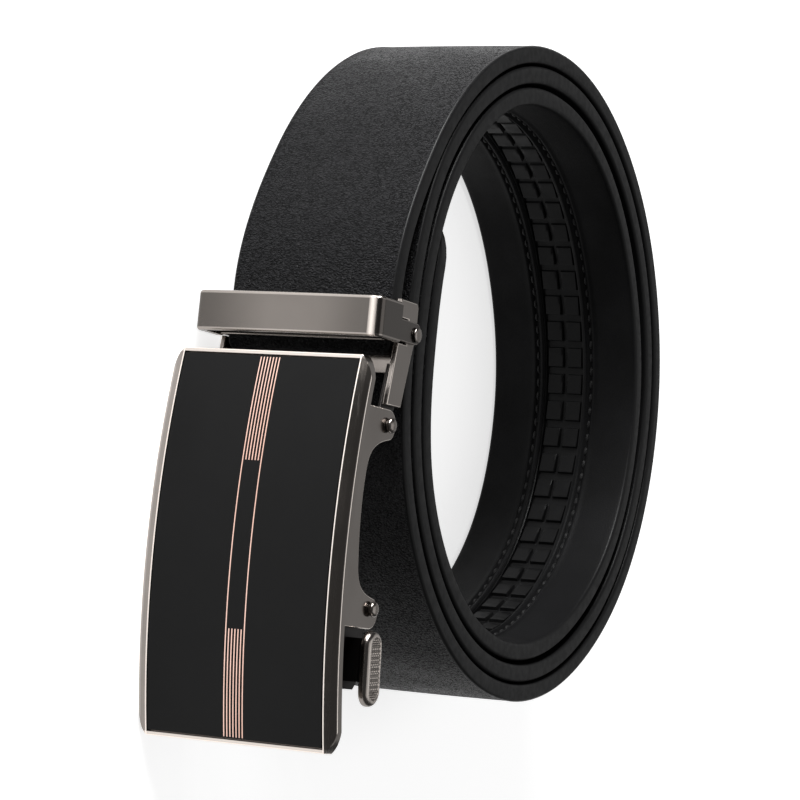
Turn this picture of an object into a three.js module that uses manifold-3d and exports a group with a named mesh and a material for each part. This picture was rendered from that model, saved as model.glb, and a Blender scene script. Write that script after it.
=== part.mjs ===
// A ratchet belt as it is stored: the strap coiled in three turns, standing on its edge
// behind its buckle. Millimetres, +Z up. X runs along the buckle's plate, Y from its
// front to the back of the coil, and Z across the strap. The parts are worked out round
// the middle of the plate, and the whole is then set on the floor, centred.

import * as THREE from 'three';
import { mergeVertices } from 'three/addons/utils/BufferGeometryUtils.js';
import Module from 'manifold-3d';

const wasm = await Module();
wasm.setup();

// Strap and its coil
const strapWidth = 35;
const strapThickness = 3.7;
const strapBevel = 0.8;
const coilRadius = 67;
const coilShift = -0.8;
const stationDegrees = 6;
const tailDegrees = 1110;
const tailCorner = 14;
const endCorner = 2;
const endReach = 6.8;
const flatDegrees = 4.5;

// Ratchet track, let into the inner face of the tail
const trackWidth = 9;
const trackPitch = 6;
const trackFromDegrees = 765;
const trackToDegrees = 1080;
const channelDepth = 1.5;
const blockRise = 0.9;
const blockGroove = 0.8;
const trackEase = 0.25;
const trackWeb = 0.35;
const trackSkin = 0.05;

// Cover: the curved plate at the front
const plateLength = 72.7;
const plateCrown = 4;
const plateDepth = 2.9;
const slopeWidth = 1.3;
const slopeDepth = 0.5;
const rimWidth = 0.95;
const rimDepth = 1.25;
const rimOverhang = 1.85;
const endBorder = 0.9;
const sideBorder = 0.2;
const cornerLength = 4.2;
const cornerWidth = 2.2;
const inlayThickness = 0.7;

// Ears, pins and the room round them
const sideClearance = 0.5;
const earThickness = 1.2;
const seatGap = 0.15;
const pinRadius = 1;
const pinClearance = 0.2;
const headRadius = 1.45;
const headHeight = 0.6;
const hingeInset = 11.65;
const hingeDepth = 12.6;
const hingeLobe = 2.95;
const pawlInset = 26.95;
const pawlDepth = 12.4;
const pawlLobe = 2.9;
const pawlLobeShift = 0.8;
const archTop = 5.1;

// Clamp: the link behind the strap and the flap in front of it
const linkSpan = 17.8;
const strapFront = 13.2;
const jawThickness = 1.3;
const keeperRoom = 6.2;
const barThickness = 1.7;
const barCrown = 0.5;
const barCorner = 2.2;
const flapLength = 7.7;
const flapShare = 0.7;
const flapEarWidth = 4.3;
const flapEarThickness = 1.1;
const flapOverhang = 0.6;
const baseThickness = 1.2;
const lugLength = 3.5;
const tongueThickness = 0.6;
const tongueGap = 0.2;
const tongueRadius = 2.3;
const armTaper = 1.9;
const armGap = 0.8;
const wallBehind = 1.5;
const wallCorner = 0.7;
const baseReach = 0.7;
const clipPinRadius = 0.8;
const clampGap = 0.3;

// Pawl and release lever
const pawlSideGap = 0.8;
const pawlReach = 15;
const pawlRise = 7.4;
const pawlTooth = 0.9;
const pawlCorner = 1.2;
const leverLength = 14;
const leverWidth = 6;
const leverThickness = 1.9;
const leverTilt = 4.5;
const leverEdge = 0.45;
const leverGap = 1;
const leverLead = 3.9;
const leverDrop = 1.5;
const barrelRadius = 2.6;
const neckLength = 8;
const neckWidth = 4;
const neckInset = 1.5;
const neckDrop = 0.4;

// Places that follow from the sizes above
const halfStrap = strapWidth / 2;
const earInner = halfStrap + sideClearance;
const earOuter = earInner + earThickness;
const flapOuter = earOuter + flapOverhang;
const halfPlate = earOuter + rimOverhang;
const halfLength = plateLength / 2;
const inlayHalfLength = halfLength - endBorder - seatGap;
const ledge = halfPlate - rimWidth;
const slopeTop = ledge - slopeWidth;
const inlayHalfWidth = slopeTop - sideBorder - seatGap;
const hingeX = hingeInset - halfLength;
const pawlX = halfLength - pawlInset;
const clipX = hingeX - linkSpan;
const strapBack = strapFront + strapThickness;
const baseFront = strapBack + seatGap;
const baseBack = baseFront + baseThickness;
const clipDepth = baseBack + seatGap + clipPinRadius;
const jawBack = strapFront - clampGap;
const jawFront = jawBack - jawThickness;
const barBack = jawFront - keeperRoom;
const flapLeft = clipX - flapShare * flapLength;
const flapRight = flapLeft + flapLength;
const coilX = clipX + coilShift;
const paddleBottom = earOuter + leverGap;

// The coil, one row for each 30 degrees round it, from the clamp towards the plate's
// upper end, round the back and on. turn is the outer face of the first turn as a share
// of coilRadius. second and third are the gaps to the turns inside it as shares of the
// strap's thickness.
const coilRows = [
  { turn: 1.101, second: 0.97, third: 0.30 },
  { turn: 1.075, second: 0.13, third: 0.35 },
  { turn: 1.040, second: 0.11, third: 0.12 },
  { turn: 1.001, second: 0.16, third: 0.32 },
  { turn: 0.983, second: 0.20, third: 0.49 },
  { turn: 0.999, second: 0.32, third: 0.78 },
  { turn: 1.029, second: 0.41, third: 0.73 },
  { turn: 1.040, second: 0.32, third: 0.57 },
  { turn: 1.019, second: 0.19, third: 0.41 },
  { turn: 1.009, second: 0.10, third: 0.19 },
  { turn: 1.013, second: 0.10, third: 0.11 },
  { turn: 1.013, second: 0.24, third: 0.11 },
];
// The last stretch lies in a fourth turn, with these gaps at its first rows
const fourthGaps = [0.3, 0.08];
const rowDegrees = 360 / coilRows.length;

function materialOf(color, roughness, metalness) {
  return new THREE.MeshStandardMaterial({ color, roughness, metalness });
}

const leather = materialOf(0x17171a, 0.6, 0);
const moulding = materialOf(0x2a2a2c, 0.45, 0);
const gunmetal = materialOf(0x6f6764, 0.3, 1);
const gloss = materialOf(0x1c1c1e, 0.15, 0.2);
const darkSteel = materialOf(0x2b2927, 0.4, 1);

// Solids

function toSolid(geometry) {
  const bare = geometry.clone();
  bare.deleteAttribute('normal');
  bare.deleteAttribute('uv');
  const merged = mergeVertices(bare);
  const vertProperties = Float32Array.from(merged.attributes.position.array);
  const triVerts = Uint32Array.from(merged.index.array);
  return new wasm.Manifold(new wasm.Mesh({ numProp: 3, vertProperties, triVerts }));
}

function toMesh(name, solid, material) {
  const cut = solid.getMesh();
  const geometry = new THREE.BufferGeometry();
  geometry.setAttribute('position', new THREE.BufferAttribute(Float32Array.from(cut.vertProperties), 3));
  geometry.setIndex(new THREE.BufferAttribute(Uint32Array.from(cut.triVerts), 1));
  geometry.computeVertexNormals();
  const mesh = new THREE.Mesh(geometry, material);
  mesh.name = name;
  return mesh;
}

// A shape drawn in X and Y and carried along Z, then turned so that it runs along the
// axis that is named: along x the drawing holds Y and Z, along y it holds Z and X.
function prism(axis, shape, from, to, bevel = 0) {
  const geometry = new THREE.ExtrudeGeometry(shape, {
    depth: to - from - 2 * bevel,
    curveSegments: 8,
    bevelEnabled: bevel > 0,
    bevelThickness: bevel,
    bevelSize: bevel,
    bevelOffset: -bevel,
    bevelSegments: 1,
  });
  geometry.translate(0, 0, from + bevel);
  const x = new THREE.Vector3(1, 0, 0);
  const y = new THREE.Vector3(0, 1, 0);
  const z = new THREE.Vector3(0, 0, 1);
  const turn = new THREE.Matrix4();
  if (axis === 'x') turn.makeBasis(y, z, x);
  if (axis === 'y') turn.makeBasis(z, x, y);
  geometry.applyMatrix4(turn);
  return toSolid(geometry);
}

function block(x0, x1, y0, y1, z0, z1) {
  const geometry = new THREE.BoxGeometry(x1 - x0, y1 - y0, z1 - z0);
  geometry.translate((x0 + x1) / 2, (y0 + y1) / 2, (z0 + z1) / 2);
  return toSolid(geometry);
}

function rod(x, y, radius, z0, z1, sides = 16) {
  const geometry = new THREE.CylinderGeometry(radius, radius, z1 - z0, sides);
  geometry.rotateX(Math.PI / 2);
  geometry.translate(x, y, (z0 + z1) / 2);
  return toSolid(geometry);
}

// A closed solid through a row of outlines with equally many points. place(u, v) gives
// the point of a station in space.
function loft(stations) {
  const count = stations[0].outline.length;
  const positions = [];
  for (const { outline, place } of stations) {
    for (const [u, v] of outline) positions.push(...place(u, v));
  }
  const faces = [];
  for (let row = 0; row + 1 < stations.length; row += 1) {
    for (let side = 0; side < count; side += 1) {
      const a = row * count + side;
      const b = row * count + (side + 1) % count;
      faces.push(a, b, b + count, a, b + count, a + count);
    }
  }
  const last = (stations.length - 1) * count;
  const cap = (outline) => {
    const points = outline.map(([u, v]) => new THREE.Vector2(u, v));
    return THREE.ShapeUtils.triangulateShape(points, []);
  };
  const counterclockwise = (outline) => {
    const points = outline.map(([u, v]) => new THREE.Vector2(u, v));
    return THREE.ShapeUtils.area(points) > 0;
  };
  const first = counterclockwise(stations[0].outline);
  for (const [a, b, c] of cap(stations[0].outline)) faces.push(...(first ? [a, c, b] : [a, b, c]));
  for (const [a, b, c] of cap(stations.at(-1).outline)) {
    faces.push(...(first ? [last + a, last + b, last + c] : [last + a, last + c, last + b]));
  }
  if (signedVolume(positions, faces) < 0) {
    for (let i = 0; i < faces.length; i += 3) [faces[i], faces[i + 1]] = [faces[i + 1], faces[i]];
  }
  const vertProperties = Float32Array.from(positions);
  const triVerts = Uint32Array.from(faces);
  return new wasm.Manifold(new wasm.Mesh({ numProp: 3, vertProperties, triVerts }));
}

function signedVolume(positions, faces) {
  const corner = (index) => new THREE.Vector3().fromArray(positions, 3 * index);
  let sum = 0;
  for (let i = 0; i < faces.length; i += 3) {
    sum += corner(faces[i]).dot(corner(faces[i + 1]).cross(corner(faces[i + 2])));
  }
  return sum / 6;
}

function polygon(points) {
  return new THREE.Shape(points.map(([x, y]) => new THREE.Vector2(x, y)));
}

function rectangle(halfWide, from, to) {
  return [[-halfWide, from], [halfWide, from], [halfWide, to], [-halfWide, to]];
}

// The same solid again on the other side of the strap
function bothSides(solid) {
  return solid.add(solid.mirror([0, 0, 1]));
}

// The coil

// Outer radius of the strap at each row, turn after turn: a turn lies one thickness and
// one gap inside the turn before it.
const turnRows = coilRows.map((row) => row.turn * coilRadius);
const gapShares = [
  ...coilRows.map((row) => row.second),
  ...coilRows.map((row) => row.third),
  ...fourthGaps,
];
while (turnRows.length * rowDegrees < tailDegrees + 3 * rowDegrees) {
  const share = gapShares[turnRows.length - coilRows.length] ?? fourthGaps.at(-1);
  turnRows.push(turnRows[turnRows.length - coilRows.length] - strapThickness * (1 + share));
}

// A smooth curve between two values, with the slope at each
function ease(from, slopeFrom, to, slopeTo, t) {
  const rest = 1 - t;
  return rest * rest * ((1 + 2 * t) * from + t * slopeFrom)
    + t * t * ((3 - 2 * t) * to - rest * slopeTo);
}

// A row's slope, taken from the rows beside it
function rowSlope(row) {
  return (turnRows[row + 1] - turnRows[row - 1]) / 2;
}

// Outer radius of the strap at an angle: straight in the clamp, then bending into the
// coil by the first row, and from there smoothly through the rows
function turnRadius(degrees) {
  const radians = THREE.MathUtils.degToRad;
  if (degrees < flatDegrees) return turnRows[0] / Math.cos(radians(degrees));
  if (degrees < rowDegrees) {
    const span = rowDegrees - flatDegrees;
    const edge = radians(flatDegrees);
    const flatSlope = turnRows[0] * Math.tan(edge) / Math.cos(edge) * radians(span);
    const slope = rowSlope(1) * span / rowDegrees;
    return ease(turnRows[0] / Math.cos(edge), flatSlope, turnRows[1], slope, (degrees - flatDegrees) / span);
  }
  const row = Math.floor(degrees / rowDegrees);
  return ease(turnRows[row], rowSlope(row), turnRows[row + 1], rowSlope(row + 1), degrees / rowDegrees - row);
}

const coilY = strapFront + turnRows[0];
const backY = coilY + coilRows[6].turn * coilRadius;

// The buckle is wider than the strap, so the coil sinks to the floor towards its back
function sink(y) {
  const share = THREE.MathUtils.clamp((y - strapBack) / (backY - strapBack), 0, 1);
  return -(halfPlate - halfStrap) * share;
}

// The point at an angle of the coil, across the strap and out from its middle
function coilPoint(degrees, across, outward) {
  const angle = THREE.MathUtils.degToRad(degrees);
  const radius = turnRadius(degrees) - strapThickness / 2 + outward;
  const y = coilY - radius * Math.cos(angle);
  return [coilX - radius * Math.sin(angle), y, across + sink(y)];
}

function degreesFor(length, degrees) {
  return THREE.MathUtils.radToDeg(length / (turnRadius(degrees) - strapThickness));
}

// Half the strap's width at a distance from a rounded end
function roundedHalfWidth(distance, corner) {
  if (distance >= corner) return halfStrap;
  return halfStrap - corner + Math.sqrt(corner ** 2 - (corner - distance) ** 2);
}

function strapOutline(halfWidth) {
  const half = strapThickness / 2;
  const inner = halfWidth - strapBevel;
  const low = half - strapBevel;
  return [
    [-inner, -half], [inner, -half], [halfWidth, -low], [halfWidth, low],
    [inner, half], [-inner, half], [-halfWidth, low], [-halfWidth, -low],
  ];
}

function coilStation(degrees, outline) {
  return { outline, place: (u, v) => coilPoint(degrees, u, v) };
}

const startDegrees = -degreesFor(endReach + coilShift + seatGap, 0);

// Where a rounded end has its sections, as shares of its corner's length
const cornerShares = [1, 0.65, 0.36, 0.15, 0.03];

function makeStrap() {
  const stations = [];
  const first = cornerShares.at(-1) * endCorner;
  for (const share of cornerShares.toReversed()) {
    const distance = share * endCorner;
    const degrees = startDegrees + degreesFor(distance - first, 0);
    stations.push(coilStation(degrees, strapOutline(roundedHalfWidth(distance, endCorner))));
  }
  const tailLong = degreesFor(tailCorner, tailDegrees);
  const firstStation = Math.ceil((startDegrees + degreesFor(2 * endCorner, 0)) / stationDegrees);
  for (let i = firstStation; i * stationDegrees < tailDegrees - tailLong - 1; i += 1) {
    stations.push(coilStation(i * stationDegrees, strapOutline(halfStrap)));
  }
  for (const share of cornerShares) {
    const degrees = tailDegrees - share * tailLong;
    stations.push(coilStation(degrees, strapOutline(roundedHalfWidth(share * tailCorner, tailCorner))));
  }
  const half = strapThickness / 2;
  const side = trackWidth / 2 + trackEase;
  const channel = rectangle(side, -2 * half, channelDepth - half);
  const cutter = [];
  for (let degrees = trackFromDegrees; degrees <= trackToDegrees; degrees += stationDegrees / 2) {
    cutter.push(coilStation(degrees, channel));
  }
  return loft(stations).subtract(loft(cutter));
}

// One row of the track along its pitch: the blocks rise from the root to the crest, stay
// there for a little, and drop
const trackRow = [
  { share: 0, crest: false }, { share: 0.82, crest: true },
  { share: 0.9, crest: true }, { share: 0.94, crest: false },
];

// Rows of blocks in two columns, with a groove between the columns
function makeTrack() {
  const back = channelDepth - trackEase - strapThickness / 2;
  const floor = back - trackWeb;
  const side = trackWidth / 2;
  const groove = blockGroove / 2;
  const outline = (top) => [
    [-side, back], [side, back], [side, top], [groove, top],
    [groove, floor], [-groove, floor], [-groove, top], [-side, top],
  ];
  const crest = outline(floor - blockRise);
  const root = outline(floor - trackSkin);
  const stations = [];
  const stop = trackToDegrees - degreesFor(trackEase, trackToDegrees);
  let degrees = trackFromDegrees + degreesFor(trackEase, trackFromDegrees);
  while (degrees + degreesFor(trackPitch, degrees) < stop) {
    const row = degreesFor(trackPitch, degrees);
    for (const place of trackRow) {
      stations.push(coilStation(degrees + place.share * row, place.crest ? crest : root));
    }
    degrees += row;
  }
  return loft(stations);
}

// The cover

// How far a corner is cut in, as shares of its width, along its length from the end
const cornerRows = [
  { along: 0, cut: 1 }, { along: 0.24, cut: 0.6 }, { along: 0.58, cut: 0.24 }, { along: 1, cut: 0 },
];

const arcRadius = (inlayHalfLength ** 2 + plateCrown ** 2) / (2 * plateCrown);

// Front of the curved plate along its length
function plateFront(x) {
  return arcRadius - plateCrown - Math.sqrt(arcRadius ** 2 - x ** 2);
}

// A slab that follows the plate's curve, with the same section all along
function curvedSlab(halfLong, outline, segments = 16) {
  const stations = [];
  for (let i = 0; i <= segments; i += 1) {
    const x = THREE.MathUtils.lerp(-halfLong, halfLong, i / segments);
    stations.push({ outline, place: (u, v) => [x, plateFront(x) + v, u] });
  }
  return loft(stations);
}

// One ear: from under the rim down to a lobe round each pin, with an arch between them
function earShape() {
  const left = hingeX - hingeLobe;
  const lobeX = pawlX + pawlLobeShift;
  const right = lobeX + pawlLobe;
  const sunk = 0.55 * plateDepth;
  const shape = new THREE.Shape();
  shape.moveTo(left, plateFront(left) + sunk);
  shape.lineTo(left, hingeDepth);
  shape.absarc(hingeX, hingeDepth, hingeLobe, Math.PI, 0.15 * Math.PI, true);
  const shoulder = 0.27 * (pawlX - hingeX);
  shape.bezierCurveTo(
    hingeX + 1.2 * hingeLobe, hingeDepth - 4,
    hingeX + 1.7 * hingeLobe, archTop + 1,
    hingeX + shoulder, archTop + 0.5,
  );
  shape.quadraticCurveTo(
    (hingeX + pawlX) / 2, archTop - 0.7,
    pawlX - 0.75 * shoulder, archTop + 1,
  );
  const leave = 0.9 * Math.PI;
  shape.bezierCurveTo(
    pawlX - 1.2 * pawlLobe, archTop + 1.8,
    pawlX - 0.9 * pawlLobe, archTop + 4,
    lobeX + pawlLobe * Math.cos(leave), pawlDepth + pawlLobe * Math.sin(leave),
  );
  shape.absarc(lobeX, pawlDepth, pawlLobe, leave, 0, true);
  for (let i = 0; i <= 5; i += 1) {
    const x = THREE.MathUtils.lerp(right, left, i / 6);
    shape.lineTo(x, plateFront(x) + sunk);
  }
  return shape;
}

function makeCover() {
  const half = [[slopeTop, 0], [ledge, slopeDepth], [halfPlate, rimDepth], [halfPlate, plateDepth]];
  const section = [...half.map(([z, y]) => [-z, y]).toReversed(), ...half];
  const corner = (sx, sz) => {
    const points = cornerRows.map(({ along, cut }) => [
      sz * (halfPlate - cut * cornerWidth), sx * (halfLength - along * cornerLength),
    ]);
    return sx * sz > 0 ? points : points.reverse();
  };
  const plan = [...corner(1, 1), ...corner(-1, 1), ...corner(-1, -1), ...corner(1, -1)];
  const above = -2 * plateCrown;
  const below = 2 * (plateCrown + plateDepth);
  const plate = curvedSlab(halfLength, section).intersect(prism('y', polygon(plan), above, below));
  const side = inlayHalfWidth + seatGap;
  const depth = inlayThickness + seatGap;
  const pocket = curvedSlab(inlayHalfLength + seatGap, rectangle(side, -1, depth));
  const ears = bothSides(prism('z', earShape(), earInner, earOuter));
  const hole = pinRadius + pinClearance;
  return plate.subtract(pocket).add(ears)
    .subtract(rod(hingeX, hingeDepth, hole, -halfPlate, halfPlate))
    .subtract(rod(pawlX, pawlDepth, hole, -halfPlate, halfPlate));
}

function makeInlay() {
  return curvedSlab(inlayHalfLength, rectangle(inlayHalfWidth, 0, inlayThickness));
}

// The clamp

const armFront = strapFront + 0.1;
const armRight = hingeX - hingeLobe - armGap;
const notchLeft = clipX - 0.6 * flapEarWidth;
const notchRight = clipX + 0.5 * flapEarWidth;
const linkLeft = notchLeft - lugLength;
const lugBack = clipDepth + wallBehind;

// The link: a base behind the strap, side walls with a notch for the flap's ears, and
// arms with inner tongues that reach the hinge pin between the cover's ears
function makeLink() {
  const strapEnd = clipX + endReach;
  const web = earInner + 0.4 * earThickness;
  const base = block(linkLeft, strapEnd + baseReach, baseFront, baseBack, -web, web);
  const wall = polygon([
    [linkLeft, armFront], [notchLeft, armFront], [notchLeft, baseFront], [notchRight, baseFront],
    [notchRight, armFront], [armRight, armFront - armTaper], [armRight, baseFront],
    [notchRight, lugBack - wallCorner], [notchRight - wallCorner, lugBack],
    [linkLeft + wallCorner, lugBack], [linkLeft, lugBack - wallCorner],
  ]);
  const tongueOuter = earInner - tongueGap;
  const tongueInner = tongueOuter - tongueThickness;
  const room = strapEnd + clampGap;
  const stem = polygon([
    [room, armFront], [armRight, armFront - armTaper], [armRight, baseFront], [room, baseBack],
  ]);
  const tongue = polygon([
    [armRight, armFront - armTaper], [hingeX, hingeDepth - tongueRadius],
    [hingeX, hingeDepth + tongueRadius], [armRight, baseFront],
  ]);
  const side = prism('z', wall, earInner, earOuter)
    .subtract(block(notchLeft, notchRight, armFront, lugBack + 1, web, flapOuter))
    .add(prism('z', stem, tongueInner, earInner))
    .add(prism('z', tongue, tongueInner, tongueOuter))
    .add(rod(hingeX, hingeDepth, tongueRadius, tongueInner, tongueOuter));
  const clipHole = clipPinRadius + seatGap;
  return bothSides(side).add(base)
    .subtract(rod(hingeX, hingeDepth, pinRadius + pinClearance, -earInner, earInner))
    .subtract(rod(clipX, clipDepth, clipHole, -earOuter, earOuter));
}

// Half of the flap's section across the strap, drawn in Y and Z: the crowned bar, the
// rounded corner and the side wall down to the jaw
function flapShape() {
  const front = barBack - barThickness;
  const shoulder = front + barCrown;
  const shape = new THREE.Shape();
  const wall = earInner;
  shape.moveTo(jawBack, flapOuter);
  shape.lineTo(shoulder + barCorner, flapOuter);
  shape.absarc(shoulder + barCorner, flapOuter - barCorner, barCorner, Math.PI / 2, Math.PI, false);
  shape.quadraticCurveTo(front - barCrown, 0, shoulder, barCorner - flapOuter);
  shape.absarc(shoulder + barCorner, barCorner - flapOuter, barCorner, Math.PI, 1.5 * Math.PI, false);
  shape.lineTo(jawBack, -flapOuter);
  shape.lineTo(jawBack, -wall);
  shape.lineTo(barBack + barCorner / 2, -wall);
  shape.lineTo(barBack, barCorner / 2 - wall);
  shape.lineTo(barBack, wall - barCorner / 2);
  shape.lineTo(barBack + barCorner / 2, wall);
  shape.lineTo(jawBack, wall);
  return shape;
}

function makeFlap() {
  const frame = prism('x', flapShape(), flapLeft, flapRight);
  const jaw = block(flapLeft + clampGap, flapRight - clampGap, jawFront, jawBack, -earInner, earInner);
  const earLeft = notchLeft + clampGap;
  const earRight = notchRight - clampGap;
  const radius = (earRight - earLeft) / 2;
  const ear = polygon([
    [earLeft, jawFront], [earRight, jawFront], [earRight, clipDepth], [earLeft, clipDepth],
  ]);
  const earFrom = flapOuter - flapEarThickness;
  const ears = bothSides(prism('z', ear, earFrom, flapOuter)
    .add(rod((earLeft + earRight) / 2, clipDepth, radius, earFrom, flapOuter)));
  const hole = rod(clipX, clipDepth, clipPinRadius + seatGap, -halfPlate, halfPlate);
  return frame.add(jaw).add(ears).subtract(hole);
}

// A rivet right across the buckle, with a domed head on each side. seat is how far out
// the piece under the head reaches.
function makePin(x, y, radius, seat) {
  const under = seat + seatGap;
  const dome = [{ wide: 1, high: 0 }, { wide: 0.92, high: 0.5 }, { wide: 0.6, high: 0.88 }];
  const half = dome.map(({ wide, high }) => [wide * headRadius, under + high * headHeight]);
  const profile = [
    [0, -under - headHeight], ...half.map(([r, z]) => [r, -z]).toReversed(), [radius, -under],
    [radius, under], ...half, [0, under + headHeight],
  ];
  const points = profile.map(([r, z]) => new THREE.Vector2(r, z));
  const geometry = new THREE.LatheGeometry(points, 14);
  geometry.rotateX(Math.PI / 2);
  geometry.translate(x, y, 0);
  return toSolid(geometry);
}

// The pawl: a barrel on its pin, a block with two teeth that face the plate, and a neck
// that carries the release lever
function makePawl() {
  const half = earInner - pawlSideGap;
  const top = pawlDepth - pawlRise;
  const end = pawlX + pawlReach;
  const tooth = trackPitch / 2;
  const start = pawlX + 0.3 * pawlReach;
  const back = pawlDepth + 0.75 * barrelRadius;
  const body = polygon([
    [pawlX - 0.5 * barrelRadius, pawlDepth - 0.6 * barrelRadius],
    [start, top + pawlTooth], [start + tooth, top], [start + tooth, top + pawlTooth],
    [start + 2 * tooth, top], [end - pawlCorner, top], [end, top + pawlCorner],
    [end, back - 2 * pawlCorner], [end - pawlCorner, back - pawlCorner], [pawlX, back],
  ]);
  const neckX = end - neckInset - neckLength;
  const neckY = pawlDepth - neckDrop - neckWidth;
  const neck = block(neckX, neckX + neckLength, neckY, neckY + neckWidth, 0, paddleBottom - seatGap);
  return prism('z', body, -half, half)
    .add(rod(pawlX, pawlDepth, barrelRadius, -half, half))
    .subtract(rod(pawlX, pawlDepth, pinRadius + pinClearance, -earInner, earInner))
    .add(neck);
}

// The release lever: a stadium paddle that lies on the neck, on the upper side
function makeLever() {
  const radius = leverWidth / 2;
  const reach = leverLength / 2 - radius;
  const paddle = new THREE.Shape();
  paddle.absarc(reach, 0, radius, -Math.PI / 2, Math.PI / 2, false);
  paddle.absarc(-reach, 0, radius, Math.PI / 2, 1.5 * Math.PI, false);
  return prism('z', paddle, paddleBottom, paddleBottom + leverThickness, leverEdge)
    .rotate([0, 0, leverTilt])
    .translate([pawlX + leverLead + leverLength / 2, pawlDepth - leverDrop, 0]);
}

const group = new THREE.Group();
group.add(toMesh('strap', makeStrap(), leather));
group.add(toMesh('ratchet_track', makeTrack(), moulding));
group.add(toMesh('cover', makeCover(), gunmetal));
group.add(toMesh('inlay', makeInlay(), gloss));
group.add(toMesh('link', makeLink(), gunmetal));
group.add(toMesh('clamp_flap', makeFlap(), gunmetal));
group.add(toMesh('clip_pin', makePin(clipX, clipDepth, clipPinRadius, flapOuter), gunmetal));
group.add(toMesh('hinge_pin', makePin(hingeX, hingeDepth, pinRadius, earOuter), gunmetal));
group.add(toMesh('pawl_pin', makePin(pawlX, pawlDepth, pinRadius, earOuter), gunmetal));
group.add(toMesh('pawl', makePawl(), darkSteel));
group.add(toMesh('lever', makeLever(), gunmetal));

// Stand the belt on the floor, with the middle of its outline over the origin
const box = new THREE.Box3().setFromObject(group);
const middle = box.getCenter(new THREE.Vector3());
group.position.set(-middle.x, -middle.y, -box.min.z);
group.updateMatrixWorld(true);

export default group;
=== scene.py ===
# %% [markdown]
# # A coiled ratchet belt
# The belt lies on its edge, rolled up in three turns, with its buckle in front. The frame
# that is loaded here holds every part at its true size and place. This lesson gives each
# part its real surface: leather with a pebbled grain, a moulded track sewn into its inner
# side, and a buckle of dark plated metal round a gloss panel.
# Lengths are written in millimetres, because a buckle maker thinks in them, and are turned
# into metres only when a mesh is made.

# %% Load the frame
import math

import bmesh
import bpy
import numpy as np
from mathutils import Matrix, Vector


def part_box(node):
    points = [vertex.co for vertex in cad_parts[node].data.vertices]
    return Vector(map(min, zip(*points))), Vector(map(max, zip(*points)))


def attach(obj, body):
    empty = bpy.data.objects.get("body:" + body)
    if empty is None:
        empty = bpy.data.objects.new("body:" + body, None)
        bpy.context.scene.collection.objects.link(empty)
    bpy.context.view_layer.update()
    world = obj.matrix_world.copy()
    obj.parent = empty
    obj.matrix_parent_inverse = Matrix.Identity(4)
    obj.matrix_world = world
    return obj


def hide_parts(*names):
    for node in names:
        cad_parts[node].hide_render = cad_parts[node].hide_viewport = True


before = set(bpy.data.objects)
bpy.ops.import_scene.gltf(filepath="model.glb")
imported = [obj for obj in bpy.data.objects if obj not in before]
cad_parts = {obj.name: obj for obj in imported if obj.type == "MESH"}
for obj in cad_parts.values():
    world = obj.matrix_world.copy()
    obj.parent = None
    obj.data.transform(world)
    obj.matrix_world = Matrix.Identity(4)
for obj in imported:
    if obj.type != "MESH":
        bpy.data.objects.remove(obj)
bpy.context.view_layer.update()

# %% [markdown]
# ## Where things are
# The buckle is drawn round the middle of its plate: x runs along the plate, y from its
# front to the back of the coil, z across the strap. The panel in the plate tells where that
# middle lies in the frame, so one small function can place any point.

# %% Placing points
MM = 0.001
plate_crown = 4.0
panel_low, panel_high = (np.array(corner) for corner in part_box("inlay"))
buckle_middle = np.array([
    (panel_low[0] + panel_high[0]) / 2,
    panel_low[1] + plate_crown * MM,
    (panel_low[2] + panel_high[2]) / 2,
])
print("middle of the plate in metres", buckle_middle.round(5))


def place(points):
    """Points in millimetres round the plate's middle, scaled to metres and moved there."""
    return np.asarray(points, float) * MM + buckle_middle


# %% [markdown]
# ## From arrays to meshes
# Every new surface below is an array of points and an array of faces. A grid of points is
# the usual case: its rows run along the piece and its columns go round its section. A list
# of such closed shells can be one piece, which keeps a ratchet or a row of stitches light.
# Python loops over vertices would be slow, so the arrays go into the mesh in one call each.

# %% Grids and shells
def grid_shell(points, ring=True, caps=True):
    """A shell from points of shape (rows, columns, 3). Face (r, c) joins the points (r, c),
    (r, c + 1), (r + 1, c + 1) and (r + 1, c). A ring joins the last column to the first, and
    caps close the first and last row with one face each."""
    rows, columns = points.shape[:2]
    index = np.arange(rows * columns).reshape(rows, columns)
    here = index if ring else index[:, :-1]
    beside = np.roll(index, -1, axis=1) if ring else index[:, 1:]
    quads = np.stack([here[:-1], beside[:-1], beside[1:], here[1:]], axis=-1).reshape(-1, 4)
    faces = [quads]
    if caps:
        faces += [index[0][::-1][None], index[-1][None]]
    return points.reshape(-1, 3), faces


def outward(points, faces):
    """The same faces, turned round if the volume they enclose comes out negative. The volume
    is the sum of the tetrahedra between the origin and a fan of triangles in each face."""
    centre = points.mean(axis=0)
    volume = 0.0
    for group in faces:
        for k in range(1, group.shape[1] - 1):
            a, b, c = (points[group[:, i]] - centre for i in (0, k, k + 1))
            volume += np.einsum("ij,ij->", a, np.cross(b, c)) / 6
    return faces if volume > 0 else [group[:, ::-1] for group in faces]


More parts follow.
